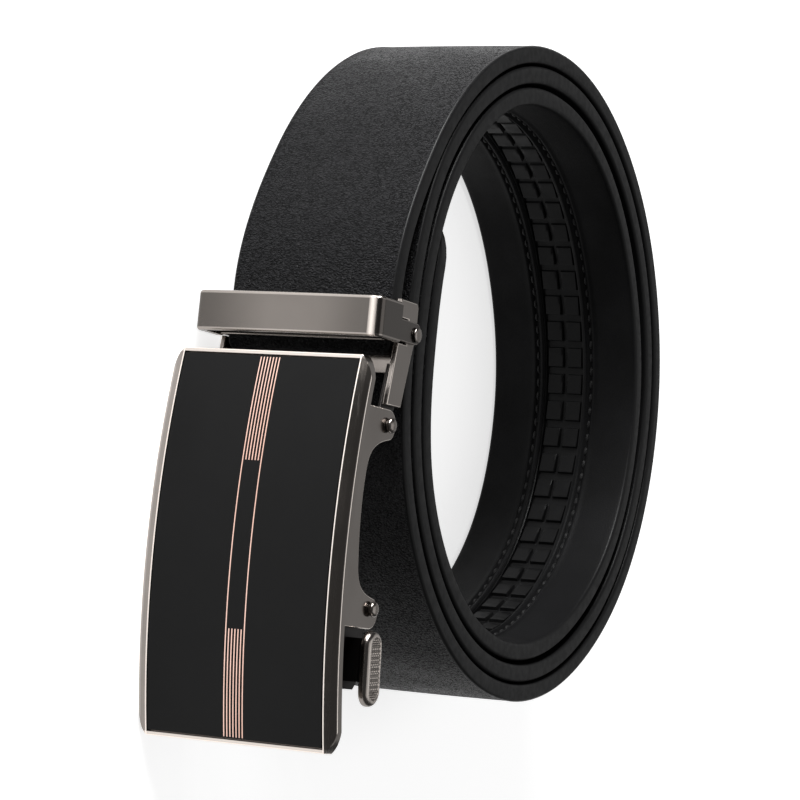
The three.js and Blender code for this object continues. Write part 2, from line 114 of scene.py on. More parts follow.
def make_piece(name, shells, smooth_angle=35, weld=0.0):
    """One mesh object from closed shells. Corners go in as one flat array, and a face is
    known by where its corners start. Edges sharper than smooth_angle degrees stay crisp."""
    all_points, corners, sizes = [], [], []
    start = 0
    for points, faces in shells:
        for group in outward(points, faces):
            corners.append((group + start).ravel())
            sizes.append(np.full(len(group), group.shape[1]))
        all_points.append(points)
        start += len(points)
    points = np.concatenate(all_points)
    corners = np.concatenate(corners).astype(np.int32)
    sizes = np.concatenate(sizes)
    mesh = bpy.data.meshes.new(name)
    mesh.vertices.add(len(points))
    mesh.vertices.foreach_set("co", place(points).astype(np.float32).ravel())
    mesh.loops.add(len(corners))
    mesh.loops.foreach_set("vertex_index", corners)
    mesh.polygons.add(len(sizes))
    mesh.polygons.foreach_set("loop_start", (np.cumsum(sizes) - sizes).astype(np.int32))
    mesh.update(calc_edges=True)
    mesh.validate()
    if weld > 0:
        work = bmesh.new()
        work.from_mesh(mesh)
        bmesh.ops.remove_doubles(work, verts=work.verts, dist=weld * MM)
        work.to_mesh(mesh)
        work.free()
    mesh.shade_smooth()
    mesh.set_sharp_from_angle(angle=math.radians(smooth_angle))
    piece = bpy.data.objects.new(name, mesh)
    bpy.context.scene.collection.objects.link(piece)
    triangles = int((sizes - 2).sum())
    print(f"{name}: {len(points)} points, {triangles} triangles")
    return piece


narrow_face = 0.165
least_turn = 8


def crisp_faces(piece):
    """Lets big flat faces keep their own normal beside narrow rounded edges, and marks those edges for a
    painted highlight in the metal finish. A face is one of them if its area over its longest side is less
    than narrow_face and it turns away from a neighbour by more than least_turn degrees."""
    mesh = piece.data
    count = len(mesh.polygons)
    sizes, areas = np.empty(count, np.int32), np.empty(count, np.float32)
    normals = np.empty(3 * count, np.float32)
    mesh.polygons.foreach_get("loop_total", sizes)
    mesh.polygons.foreach_get("area", areas)
    mesh.polygons.foreach_get("normal", normals)
    normals = normals.reshape(-1, 3)
    points = np.empty(3 * len(mesh.vertices), np.float32)
    mesh.vertices.foreach_get("co", points)
    ends = np.empty(2 * len(mesh.edges), np.int32)
    mesh.edges.foreach_get("vertices", ends)
    points, ends = points.reshape(-1, 3), ends.reshape(-1, 2)
    lengths = np.linalg.norm(points[ends[:, 0]] - points[ends[:, 1]], axis=1)
    edge_of_corner = np.empty(len(mesh.loops), np.int32)
    mesh.loops.foreach_get("edge_index", edge_of_corner)
    face_of_corner = np.repeat(np.arange(count), sizes)
    pairs = face_of_corner[np.argsort(edge_of_corner, kind="stable")].reshape(-1, 2)
    cosines = np.sum(normals[pairs[:, 0]] * normals[pairs[:, 1]], axis=1)
    turns = np.degrees(np.arccos(np.clip(cosines, -1, 1)))
    longest, turned = np.zeros(count), np.zeros(count)
    np.maximum.at(longest, face_of_corner, lengths[edge_of_corner])
    np.maximum.at(turned, pairs.ravel(), np.repeat(turns, 2))
    # Painted highlight: these narrow edge faces are marked to get a lighter metal colour.
    band = (areas < longest * narrow_face * MM) & (turned > least_turn)
    mesh.attributes.new("painted edge highlight", "FLOAT", "FACE").data.foreach_set("value", band.astype(np.float32))
    print(f"{piece.name}: {int(band.sum())} of {count} faces are edges")
    modifier = piece.modifiers.new("flat faces stay flat", "WEIGHTED_NORMAL")
    modifier.keep_sharp = True


# %% [markdown]
# ## The coil as a formula
# The strap is one flat ribbon that winds inwards three times. Its outer radius is known at
# twelve directions of the first turn, as shares of one coil radius; each further turn lies
# one strap thickness and one gap inside. Between those rows a Hermite curve keeps the
# radius and its slope smooth. The buckle is wider than the strap, so the coil also sinks
# towards its back until its lower edge lies on the floor.

# %% Sizes of the strap and rows of the coil
strap_width = 35.0
strap_thickness = 3.7
edge_round = 0.8
coil_radius = 67.0
clamp_front = 13.2
clip_x = -42.5
coil_x = clip_x - 0.8
flat_degrees = 4.5
row_degrees = 30
tail_degrees = 1110
tail_corner = 14.0
end_corner = 2.0
half_plate = 21.05
seat_gap = 0.15
half_strap = strap_width / 2
half_thick = strap_thickness / 2

coil_rows = {
    "turn": [1.101, 1.075, 1.040, 1.001, 0.983, 0.999, 1.029, 1.040, 1.019, 1.009, 1.013, 1.013],
    "second_gap": [0.97, 0.13, 0.11, 0.16, 0.20, 0.32, 0.41, 0.32, 0.19, 0.10, 0.10, 0.24],
    "third_gap": [0.30, 0.35, 0.12, 0.32, 0.49, 0.78, 0.73, 0.57, 0.41, 0.19, 0.11, 0.11],
    "fourth_gap": [0.30, 0.08, 0.08, 0.08],
}
row_radii = coil_radius * np.array(coil_rows["turn"])
for turn in ("second_gap", "third_gap", "fourth_gap"):
    gaps = np.array(coil_rows[turn])
    outside = row_radii[-12:][: len(gaps)]
    row_radii = np.append(row_radii, outside - strap_thickness * (1 + gaps))
row_slopes = np.gradient(row_radii)
coil_y = clamp_front + row_radii[0]
coil_back = coil_y + row_radii[6]
print("strap's outer radius, turn by turn", row_radii[::12].round(1))


# %% The strap's place at any angle
def hermite(a, slope_a, b, slope_b, t):
    """A cubic between a and b: (1-t)^2 ((1+2t) a + t slope_a) + t^2 ((3-2t) b - (1-t) slope_b)."""
    rest = 1 - t
    return rest**2 * ((1 + 2 * t) * a + t * slope_a) + t**2 * ((3 - 2 * t) * b - rest * slope_b)


def turn_radius(degrees):
    """Outer radius at an angle. In the clamp the strap is straight, so radius times cosine is
    constant; from there it bends into the first row, and then runs smoothly through the rows."""
    degrees = np.asarray(degrees, float)
    row = np.clip(degrees // row_degrees, 1, len(row_radii) - 2).astype(int)
    through = hermite(row_radii[row], row_slopes[row], row_radii[row + 1], row_slopes[row + 1],
                      degrees / row_degrees - row)
    edge = math.radians(flat_degrees)
    span = row_degrees - flat_degrees
    flat_slope = row_radii[0] * math.tan(edge) / math.cos(edge) * math.radians(span)
    bend = hermite(row_radii[0] / math.cos(edge), flat_slope, row_radii[1],
                   row_slopes[1] * span / row_degrees, (degrees - flat_degrees) / span)
    flat = row_radii[0] / np.cos(np.radians(np.clip(degrees, -30, 30)))
    return np.where(degrees < flat_degrees, flat, np.where(degrees < row_degrees, bend, through))


def coil_point(degrees, across, out):
    """A point of the strap: out is measured from its middle layer, away from the coil's
    centre, and across from its middle line. The sink is a share of the way to the back."""
    angle = np.radians(degrees)
    radius = turn_radius(degrees) - half_thick + out
    y = coil_y - radius * np.cos(angle)
    share = np.clip((y - clamp_front - strap_thickness) / (coil_back - clamp_front - strap_thickness), 0, 1)
    z = across - (half_plate - half_strap) * share
    return np.stack(np.broadcast_arrays(coil_x - radius * np.sin(angle), y, z), axis=-1)


dense = np.linspace(-6, tail_degrees, 6000)
inner_line = coil_point(dense, 0, -half_thick)
inner_length = np.concatenate([[0], np.cumsum(np.linalg.norm(np.diff(inner_line, axis=0), axis=1))])
inner_length -= np.interp(0, dense, inner_length)


def degrees_at(length):
    """The angle at a length along the inner face, read back from the summed small steps."""
    return np.interp(length, inner_length, dense)


def length_at(degrees):
    return np.interp(degrees, dense, inner_length)


end_reach = 5.9
start_degrees = float(degrees_at(clip_x - coil_x - seat_gap - end_reach))
print("strap length in mm", round(float(length_at(tail_degrees) - length_at(start_degrees))))

# %% [markdown]
# ## The strap
# A real strap is two layers glued and skived: the outer leather, and a softer lining on the
# inner side. Its corners are rounded and painted. Along the last third of its length a slot
# holds the ratchet track, and the lining is pressed up into a welt on both sides of it, with
# a sunken line for the stitches. One closed profile carried along the coil holds all of it:
# the slot and the welts are heights added to the inner face, faded in and out lengthwise.

# %% The strap's section
track_width = 9.0
track_ease = 0.25
slot_depth = 1.5
track_from, track_to = 765, 1080
stitch_line = 6.5
strap_crown = 0.12
welt_lead, welt_fade = 6, 8
welt_humps = {
    "height": [0.5, -0.36, 0.2],
    "middle": [5.35, stitch_line, 7.3],
    "width": [0.5, 0.36, 0.4],
}


def hump(distance, middle, width):
    """A soft ridge: exp(-((distance - middle) / width)^2)."""
    return np.exp(-((distance - middle) / width) ** 2)


def strap_section(corner_steps=5):
    """The closed outline (across, out): the outer face, a rounded corner, the edge, a corner,
    the inner face with close points where the slot's walls and the welts are, and back."""
    turn = np.linspace(0, np.pi / 2, corner_steps + 1)
    flat = half_strap - edge_round
    level = half_thick - edge_round * (1 - np.cos(turn))
    corner = np.stack([flat + edge_round * np.sin(turn), level], axis=1)
    slot = track_width / 2 + track_ease
    inner = np.array([
        15.6, 14, 12, 10, 8.6, 7.9, 7.5, 7.2, 6.95, 6.7, 6.5, 6.3, 6.05, 5.8, 5.5, 5.2, 4.95,
        slot, slot - 0.04, 2.4,
    ])
    outer = np.linspace(0.92, 0, 7) * flat
    quarter_outer = np.stack([outer, np.full(7, half_thick)], axis=1)
    quarter_inner = np.stack([inner, np.full(len(inner), -half_thick)], axis=1)
    right = np.concatenate([
        quarter_outer[::-1], corner, corner[::-1] * [1, -1], quarter_inner, [[0, -half_thick]],
    ])
    left = right[1:-1][::-1] * [-1, 1]
    return np.concatenate([right, left])


section = strap_section()
print("points round the strap", len(section))


# %% The strap's surface
def strap_grid():
    """Rows of the profile along the coil. Near an end the half width is
    half - corner + sqrt(corner^2 - (corner - distance)^2), and the last fraction of a
    millimetre also thins, so that the cut end is rounded like the edges."""
    tip = np.array([0, 0.1, 0.3, 0.6, 0.9, 1.4, 2.2, 3.2, 4.5, 6, 8, 10, 12, 14.0])
    first, last = start_degrees, float(tail_degrees)
    start_rows = degrees_at(length_at(first) + np.array([0, 0.1, 0.25, 0.5, 0.9, 1.4, 2.0]))
    tail_rows = degrees_at(length_at(last) - tip)[::-1]
    middle_rows = np.arange(math.ceil(start_rows[-1]) + 1, tail_rows[0] - 0.6, 1.25)
    degrees = np.concatenate([start_rows, middle_rows, tail_rows])
    from_start = length_at(degrees) - length_at(first)
    from_tail = length_at(last) - length_at(degrees)

    def rounded(distance, corner):
        inside = np.clip(corner - distance, 0, corner)
        return half_strap - corner + np.sqrt(np.maximum(corner**2 - inside**2, 0))

    width = np.minimum(rounded(from_start, end_corner), rounded(from_tail, tail_corner))[:, None]
    ends = np.minimum(from_start, from_tail)[:, None]
    lost = np.clip(edge_round - ends, 0, edge_round)
    thin = 1 - (edge_round - np.sqrt(edge_round**2 - lost**2)) / half_thick
    across, out = section[:, 0][None], section[:, 1][None]
    off = np.abs(across)
    squeezed = np.sign(across) * np.maximum(width - (half_strap - off), off * width / half_strap * 0.9)
    across_now = np.where(off > 0, squeezed, 0)
    near = np.clip((length_at(degrees) - length_at(track_from)) / 1.0, 0, 1)
    far = np.clip((length_at(track_to) - length_at(degrees)) / 1.0, 0, 1)
    slotted = (near * far)[:, None]
    fade = np.clip((length_at(degrees) - length_at(track_from) + welt_lead) / welt_fade, 0, 1)
    fade = fade * np.clip((length_at(track_to) - length_at(degrees) + welt_lead) / welt_fade, 0, 1)
    inside = (out < -half_thick + 1e-6) & (off < half_strap - edge_round)
    in_slot = off < track_width / 2 + track_ease - 0.01
    welt = sum(tall * hump(off, middle, wide) for tall, middle, wide in zip(*welt_humps.values()))
    height = np.where(in_slot, -slot_depth * slotted, welt * fade[:, None])
    crown = strap_crown * (1 - (across / half_strap) ** 2)
    sunk = np.where(out > half_thick - 1e-6, crown - strap_crown, 0)
    out_now = out * thin - np.where(inside, height, 0) + sunk
    points = coil_point(degrees[:, None], across_now, out_now)
    return degrees, points


strap_degrees, strap_points = strap_grid()
strap = make_piece("leather_strap", [grid_shell(strap_points)], smooth_angle=50)
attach(strap, "root")
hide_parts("strap")

# %% [markdown]
# The three surfaces of the strap need three finishes, and the grain has to run along the
# strap and not through it. So the mesh gets a UV map in real metres: u is the length along
# the strap and v the way round its section. The column of a face tells which finish it has.

# %% Unrolling the strap
columns = len(section)
rows = len(strap_degrees)
step_u = np.linalg.norm(np.diff(strap_points.mean(axis=1), axis=0), axis=1)
u = np.concatenate([[0], np.cumsum(step_u)]) * MM
step_v = np.linalg.norm(np.diff(np.vstack([section, section[:1]]), axis=0), axis=1)
v = np.concatenate([[0], np.cumsum(step_v)]) * MM
quad_rows, quad_columns = np.divmod(np.arange((rows - 1) * columns), columns)
loop_rows = np.stack([quad_rows, quad_rows, quad_rows + 1, quad_rows + 1], axis=1)
loop_columns = np.stack([quad_columns, quad_columns + 1, quad_columns + 1, quad_columns], axis=1)
uv = np.stack([u[loop_rows], v[loop_columns]], axis=-1)
mesh = strap.data
first_corner = np.empty(len(mesh.loops), np.int32)
mesh.loops.foreach_get("vertex_index", first_corner)
if first_corner[0] != 0 or first_corner[1] != 1:
    uv = uv[:, ::-1]
cap_uv = np.zeros((2 * columns, 2))
cap_uv[:, 1] = np.tile(v[:-1], 2)
layer = mesh.uv_layers.new(name="along and round")
layer.data.foreach_set("uv", np.concatenate([uv.reshape(-1, 2), cap_uv]).astype(np.float32).ravel())
middle_out = (section[:, 1] + np.roll(section[:, 1], -1)) / 2
face_level = half_thick - 0.05
finish_of_column = np.where(middle_out > face_level, 0, np.where(middle_out < -face_level, 2, 1))
finish = np.concatenate([finish_of_column[quad_columns], [1, 1]]).astype(np.int32)
print("faces of leather, edge paint and lining", np.bincount(finish))

# %% [markdown]
# ## The ratchet track
# The track is one moulded strip of soft plastic. Two columns of blocks stand on it, each
# about four millimetres square, rising gently from one side and dropping steeply on the
# other, so that the pawl slides over them one way only. It is a height over a grid again:
# the height lengthwise times the height across, which gives clean square blocks.

# %% The track's surface
track_pitch = 6.0
block_rise = 0.9


def track_grid():
    """Height = the higher of rise(t) * column(z) and lip(z). rise is 0 in the gap, jumps to
    0.6, climbs to 1 and drops; column is 1 on each of the two blocks of a row and 0 in the
    groove between them; lip is 1 along both borders, which fill the slot to its walls."""
    profile = {
        "share": [0, 0.06, 0.10, 0.13, 0.17, 0.3, 0.45, 0.6, 0.72, 0.79, 0.82, 0.845, 0.87, 0.93],
        "rise": [0, 0.0, 0.08, 0.55, 0.64, 0.72, 0.8, 0.88, 0.95, 0.99, 0.93, 0.15, 0.02, 0.0],
    }
    begin = length_at(track_from) + track_ease
    count = int((length_at(track_to) - track_ease - begin) // track_pitch)
    along = begin + track_pitch * (np.arange(count)[:, None] + np.array(profile["share"])[None]).ravel()
    along = np.append(along, begin + count * track_pitch)
    rise = np.append(np.tile(profile["rise"], count), 0)
    one_side = np.array([0, 0.28, 0.36, 0.46, 0.62, 1.2, 2.4, 3.5, 4.0, 4.1, 4.16, 4.3, 4.36, 4.46, 4.7])
    tall = np.array([0, 0, 0.12, 0.8, 1, 1, 1, 1, 1, 0.8, 0.1, 0, 0, 0, 0])
    border = np.array([0, 0, 0, 0, 0, 0, 0, 0, 0, 0, 0, 0, 0.1, 0.9, 1])
    half = one_side[-1]
    z = np.concatenate([-one_side[::-1], one_side[1:]])
    column = np.concatenate([tall[::-1], tall[1:]])
    lip = np.concatenate([border[::-1], border[1:]])
    back = slot_depth - track_ease - half_thick
    floor = back - 0.35
    top = floor - block_rise * np.maximum(rise[:, None] * column[None], lip[None])
    z_ring = np.concatenate([z, [half, -half]])
    out = np.concatenate([top, np.full((len(along), 2), back)], axis=1)
    print("rows of blocks", count)
    return coil_point(degrees_at(along)[:, None], z_ring[None], out)


track = make_piece("track_strip", [grid_shell(track_grid())], smooth_angle=38)
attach(track, "root")
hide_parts("ratchet_track")

# %% [markdown]
# ## Stitches
# Two rows of lockstitch hold the track. A stitch is a short piece of thread that dives into
# the leather at both ends, so a lengthened ball, pressed a little into its line, is enough.
# All of them are one array: the ball's points once, times the places along the strap.

# %% Rows of stitches
stitch_pitch = 3.0
stitch_length = 2.2
stitch_dip = 0.42
stitch_sink = 0.2
thread_radius = 0.38


def stitch_shells(line):
    """Each stitch runs over t from -1 to 1 with the girth sqrt(1 - t^4), and its middle line
    sinks into the leather by stitch_sink + stitch_dip t^2."""
    begin, end = length_at(track_from) - 3, length_at(track_to) + 3
    centres = np.arange(begin, end, stitch_pitch)
    around = np.linspace(0, 2 * np.pi, 9)[:-1]
    along = np.linspace(-1, 1, 9)
    girth = np.sqrt(np.clip(1 - along**4, 0, 1)) + 0.02
    s = along[:, None] * stitch_length / 2 + 0 * around[None]
    across = thread_radius * girth[:, None] * np.cos(around)[None]
    out = thread_radius * girth[:, None] * np.sin(around)[None] + stitch_dip * along[:, None] ** 2
    shells = []
    for centre in centres:
        degrees = degrees_at(centre + s)
        shells.append(grid_shell(coil_point(degrees, line + across, out - half_thick + stitch_sink)))
    return shells


stitches = make_piece("stitches", stitch_shells(stitch_line) + stitch_shells(-stitch_line), smooth_angle=80)
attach(stitches, "root")

# %% [markdown]
# ## The plate
# The cover is a die-cast plate, bowed along its length, with a bevelled rim in two facets
# that catches the light as a thin line. A shallow pocket holds the gloss panel. The section
# across is the same all along, so the plate is again a profile on a path: an arc of a large
# circle. Where the corners are cut, the profile is simply cropped to the plate's plan.

# %% Sizes of the plate
half_length = 36.35
panel_half_length = 35.3
panel_half_width = 18.45
panel_thickness = 0.7
slope_top = 18.8
ledge = 20.1
slope_depth = 0.5
rim_depth = 1.25
plate_depth = 2.9
corner_length = 4.2
corner_width = 2.2
end_zone = 5.8
end_border = 0.74
arc_radius = (panel_half_length**2 + plate_crown**2) / (2 * plate_crown)
print("radius of the plate's bow in mm", round(arc_radius, 1))


def plate_front(x):
    """The plate's front along its length: an arc whose ends lie at 0 and middle at -crown."""
    return arc_radius - plate_crown - np.sqrt(arc_radius**2 - np.asarray(x, float) ** 2)


# %% The plate's surface
def plate_grid():
    """Rows along the plate of a closed section (z, depth). Cropping to the plan keeps each
    point on the bevel: z is held inside the half width, and the depth is read at that z."""
    pocket_side = panel_half_width + seat_gap
    pocket_depth = panel_thickness + seat_gap
    front_z = np.array([0, 6, 12, pocket_side - 0.02, pocket_side, slope_top - 0.07, slope_top + 0.08,
                        ledge - 0.12, ledge + 0.1, half_plate - 0.2, half_plate - 0.1, half_plate - 0.03])
    bevel_z = np.array([0, slope_top - 0.07, slope_top + 0.08, ledge - 0.12, ledge + 0.1, half_plate - 0.2,
                        half_plate - 0.1, half_plate - 0.03, half_plate])
    bevel_y = np.array([0, 0, 0.045, slope_depth - 0.035, slope_depth + 0.1, rim_depth - 0.1,
                        rim_depth - 0.02, rim_depth + 0.08, rim_depth + 0.2])
    side_depth = np.array([rim_depth + 0.2, rim_depth + 0.6, plate_depth - 0.35, plate_depth - 0.1])
    in_pocket = front_z < pocket_side - 0.01
    distance = np.array([0, 0.03, 0.1, 0.22, 0.45, 0.735, 0.75, 1.0, 1.3, 1.7, 2.1, 2.6, 3.1, 3.6, 4.2, 5.0])
    inner = np.linspace(-half_length + end_zone, half_length - end_zone, 44)
    x = np.concatenate([-half_length + distance, inner, half_length - distance[::-1]])
    end = half_length - np.abs(x)
    cut = corner_width * np.interp(end / corner_length, [0, 0.12, 0.24, 0.4, 0.58, 0.8, 1],
                                   [1, 0.79, 0.6, 0.4, 0.24, 0.09, 0])
    inset = np.interp(end, [0, 0.03, 0.1, 0.22], [0.2, 0.12, 0.04, 0])
    width = half_plate - cut - 0.6 * inset
    z = np.minimum(front_z[None], width[:, None] - 0.02)
    surface = np.interp(z, bevel_z, bevel_y)
    pocket = (end > end_border)[:, None] & in_pocket[None]
    depth = np.where(pocket, pocket_depth, surface) + inset[:, None]
    side = np.broadcast_to(width[:, None], (len(x), len(side_depth)))
    side_y = np.maximum(side_depth[None], np.interp(width, bevel_z, bevel_y)[:, None] + 0.1)
    back = np.stack([width - 0.12, width * 0.6, width * 0], axis=1)
    back_y = np.broadcast_to((plate_depth - 0.7 * inset)[:, None], back.shape)
    half_z = np.concatenate([z, side, back], axis=1)
    half_y = np.concatenate([depth, side_y, back_y], axis=1)
    ring_z = np.concatenate([half_z, -half_z[:, 1:-1][:, ::-1]], axis=1)
    ring_y = np.concatenate([half_y, half_y[:, 1:-1][:, ::-1]], axis=1)
    full_x = np.broadcast_to(x[:, None], ring_z.shape)
    return np.stack([full_x, plate_front(full_x) + ring_y, ring_z], axis=-1)


# %% [markdown]
# ## Stamped parts with rounded edges
# Ears, clamp walls and arms are thick sheet. Each is an outline pulled through its
# thickness, and the tumbling drum has rounded its edges. The outline is inset along its own
# normals near both faces: at an angle a the inset is r (1 - sin a) and the depth
# r (1 - cos a). That small curve is what draws a bright line along every edge.

# %% Outlines and rounded prisms
def arc(x, y, radius, start, stop, steps=14):
    """Points of a circle's arc between two angles in degrees."""
    angle = np.radians(np.linspace(start, stop, steps + 1))
    return np.stack([x + radius * np.cos(angle), y + radius * np.sin(angle)], axis=1)


def bezier(*points, steps=12):
    """A Bezier curve of any degree by repeated mixing of neighbouring control points."""
    t = np.linspace(0, 1, steps + 1)[:, None, None]
    mixed = np.array(points, float)[None]
    while mixed.shape[1] > 1:
        mixed = mixed[:, :-1] * (1 - t) + mixed[:, 1:] * t
    return mixed[:, 0]


def tidy_outline(parts):
    """One closed counterclockwise outline from parts, without doubled points."""
    outline = np.concatenate([np.atleast_2d(part) for part in parts])
    keep = np.linalg.norm(outline - np.roll(outline, 1, axis=0), axis=1) > 1e-4
    outline = outline[keep]
    x, y = outline.T
    area = np.sum(x * np.roll(y, -1) - np.roll(x, -1) * y)
    return outline if area > 0 else outline[::-1]


def rounded_prism(outline, bottom, top, edge, along="z", steps=3):
    """Rings of the outline from bottom to top, inset at both ends to round the edges. A
    corner's inset point lies on its bisector, at inset over the cosine of half its turn."""
    after = np.roll(outline, -1, axis=0) - outline
    after /= np.linalg.norm(after, axis=1, keepdims=True)
    normal = np.stack([after[:, 1], -after[:, 0]], axis=1)
    both = normal + np.roll(normal, 1, axis=0)
    miter = 2 * both / np.maximum(np.sum(both**2, axis=1, keepdims=True), 0.8)
    turn = np.linspace(0, np.pi / 2, steps + 1)
    inset = np.concatenate([edge * (1 - np.sin(turn)), edge * (1 - np.sin(turn))[::-1]])
    level = np.concatenate([bottom + edge * (1 - np.cos(turn)), top - edge * (1 - np.cos(turn))[::-1]])
    flat = outline[None] - inset[:, None, None] * miter[None]
    height = np.broadcast_to(level[:, None], flat.shape[:2])
    a, b = flat[..., 0], flat[..., 1]
    order = {"z": (a, b, height), "x": (height, a, b), "y": (b, height, a)}[along]
    return grid_shell(np.stack(order, axis=-1))


def mirrored(shell):
    """The same shell on the strap's other side."""
    points, faces = shell
    return points * [1, 1, -1], faces


# %% The ears of the cover
ear_inner, ear_outer = 18.0, 19.2
hinge_x, hinge_y = -24.7, 12.6
pawl_x, pawl_y = 9.4, 12.4
hinge_lobe = 2.95
pawl_lobe = 2.9
arch_top = 5.1


def ear_outline():
    """From under the rim down round the hinge, up over the arch, round the pawl pin, and back
    along the inside of the plate."""
    lobe_x = pawl_x + 0.8
    shoulder = 0.27 * (pawl_x - hinge_x)
    left, right = hinge_x - hinge_lobe, lobe_x + pawl_lobe
    leave = math.radians(162)
    hinge_end = arc(hinge_x, hinge_y, hinge_lobe, 180, 27)[-1]
    lobe_start = [lobe_x + pawl_lobe * math.cos(leave), pawl_y + pawl_lobe * math.sin(leave)]
    up = bezier(hinge_end, [hinge_x + 1.2 * hinge_lobe, hinge_y - 4],
                [hinge_x + 1.7 * hinge_lobe, arch_top + 1], [hinge_x + shoulder, arch_top + 0.5])
    over = bezier(up[-1], [(hinge_x + pawl_x) / 2, arch_top - 0.7], [pawl_x - 0.75 * shoulder, arch_top + 1])
    down = bezier(over[-1], [pawl_x - 1.2 * pawl_lobe, arch_top + 1.8],
                  [pawl_x - 0.9 * pawl_lobe, arch_top + 4], lobe_start)
    top_x = np.linspace(right, left, 12)
    top = np.stack([top_x, plate_front(top_x) + 0.55 * plate_depth], axis=1)
    return tidy_outline([arc(hinge_x, hinge_y, hinge_lobe, 180, 27), up, over, down,
                         arc(lobe_x, pawl_y, pawl_lobe, 162, 0), top])


ear = rounded_prism(ear_outline(), ear_inner, ear_outer, 0.18)
cover = make_piece("cover_plate", [grid_shell(plate_grid()), ear, mirrored(ear)], smooth_angle=32)
crisp_faces(cover)


def paint_highlight(piece, share, keep=1.0):
    """Adds more faces to the painted edge highlight: the mark becomes the higher of keep * old mark and
    share(centre, normal), with centres in millimetres round the plate's middle."""
    mesh = piece.data
    centres, normals = np.empty((2, 3 * len(mesh.polygons)), np.float32)
    band = np.empty(len(mesh.polygons), np.float32)
    mesh.polygons.foreach_get("center", centres)
    mesh.polygons.foreach_get("normal", normals)
    mesh.attributes["painted edge highlight"].data.foreach_get("value", band)
    added = share((centres.reshape(-1, 3) - buckle_middle) / MM, normals.reshape(-1, 3))
    band = np.maximum(keep * band, added).astype(np.float32)
    mesh.attributes["painted edge highlight"].data.foreach_set("value", band)
    print(f"{piece.name}: {int((added > 0.1).sum())} more faces with painted highlight")


end_band = 0.735


def end_painted_highlight(centre, normal):
    """The flat front faces of both end borders of the plate get a painted highlight of a little over half
    strength.
    """
    off = np.abs(centre[:, 0])
    return 0.6 * ((off > half_length - end_band) & (off < half_length - 0.08) & (normal[:, 1] < -0.5))


# Painted highlight on the plate's end borders.
paint_highlight(cover, end_painted_highlight)
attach(cover, "cover")
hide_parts("cover")

# %% [markdown]
# ## The gloss panel and its lines
# The panel is a strip of black gloss sheet with rose gold lines let into it: seven fine
# lines side by side, of which the two outer ones run the whole length and the five between
# them stop short of the middle. Each line is a ribbon that stands four hundredths of a
# millimetre proud, enough for its own edge to be seen and too little to cast a shadow.

# %% The panel
def bowed_slab(x, z, top, bottom):
    """A closed slab over the grid x by z: its front lies top behind the arc, its back bottom."""
    ring_z = np.concatenate([z, z[::-1]])
    ring_y = np.concatenate([top, np.full(len(z), bottom)])
    full_x = np.broadcast_to(x[:, None], (len(x), len(ring_z)))
    full_z = np.broadcast_to(ring_z, full_x.shape)
    return np.stack([full_x, plate_front(full_x) + ring_y[None], full_z], axis=-1)


panel_share = np.concatenate([[-1, -0.9955, -0.987], np.linspace(-0.95, 0.95, 15), [0.987, 0.9955, 1]])
panel_z = panel_share * panel_half_width
panel_top = np.interp(panel_half_width - np.abs(panel_z), [0, 0.083, 0.24], [0.2, 0.05, 0])
panel_x = np.linspace(-panel_half_length, panel_half_length, 72)
panel = make_piece("gloss_panel", [grid_shell(bowed_slab(panel_x, panel_z, panel_top, panel_thickness))])
crisp_faces(panel)
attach(panel, "cover")
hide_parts("inlay")

# %% The rose gold lines
line_pitch = 0.65
line_width = 0.25
line_proud = 0.04
blank_from, blank_to = -15.6, 15.4


def line_shells():
    """Seven ribbons at multiples of the pitch; the inner five are in two lengths each."""
    shells = []
    for place_across in range(-3, 4):
        long_line = abs(place_across) == 3
        end = panel_half_length - 0.25
        spans = [(-end, end)] if long_line else [(-end, blank_from), (blank_to, end)]
        z = place_across * line_pitch + np.array([-0.5, -0.4, 0.4, 0.5]) * line_width
        top = np.array([0.0, -line_proud, -line_proud, 0.0])
        for start, stop in spans:
            x = np.linspace(start, stop, max(8, int((stop - start) / 1.0)))
            shells.append(grid_shell(bowed_slab(x, z, top, 0.1)))
    return shells


lines = make_piece("rose_gold_lines", line_shells())
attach(lines, "cover")

# %% [markdown]
# ## The clamp
# The strap's cut end is held between a base with side walls behind it and a flap in front
# of it. The flap is a bent bar: its front is slightly crowned and its corners roll into the
# side walls. Its section, drawn across the strap, is pulled along the buckle.

# %% The flap in front of the strap
flap_outer = 19.8
jaw_back = clamp_front - 0.3
jaw_front = jaw_back - 1.3
bar_back = jaw_front - 6.2
bar_front = bar_back - 1.7
flap_length = 7.7
flap_left = clip_x - 0.7 * flap_length
flap_right = flap_left + flap_length
bar_corner = 1.5
facet_width = 1.4
facet_turn = 9
facet_steps = 7
bar_crown = 0.5
bar_edge = 0.6
bar_chamfer = 1.1
notch_left = clip_x - 0.6 * 4.3
notch_right = clip_x + 0.5 * 4.3


def flap_outline():
    """Round corners that end in a narrow facet, joined by a shallow curve in front, and the
    inside of the bar with small chamfers in its corners, drawn in y and z."""
    shoulder = bar_front + bar_crown
    lean = math.radians(facet_turn)
    corner_y = shoulder + facet_width * math.sin(lean) + bar_corner * math.cos(lean)
    turn = arc(corner_y, flap_outer - bar_corner, bar_corner, 90, 180 - facet_turn)
    along_facet = np.linspace(0, facet_width, facet_steps + 1)[1:, None]
    turn = np.vstack([turn, turn[-1] - along_facet * np.array([math.sin(lean), math.cos(lean)])])
    front = bezier(turn[-1], [bar_front - bar_crown, 0], turn[-1] * [1, -1], steps=24)
    inside = np.array([
        [jaw_back, -ear_inner], [bar_back + bar_chamfer, -ear_inner],
        [bar_back, bar_chamfer - ear_inner], [bar_back, ear_inner - bar_chamfer],
        [bar_back + bar_chamfer, ear_inner], [jaw_back, ear_inner],
    ])
    return tidy_outline([
        [jaw_back, flap_outer], turn, front, turn[::-1] * [1, -1], [jaw_back, -flap_outer], inside,
    ])


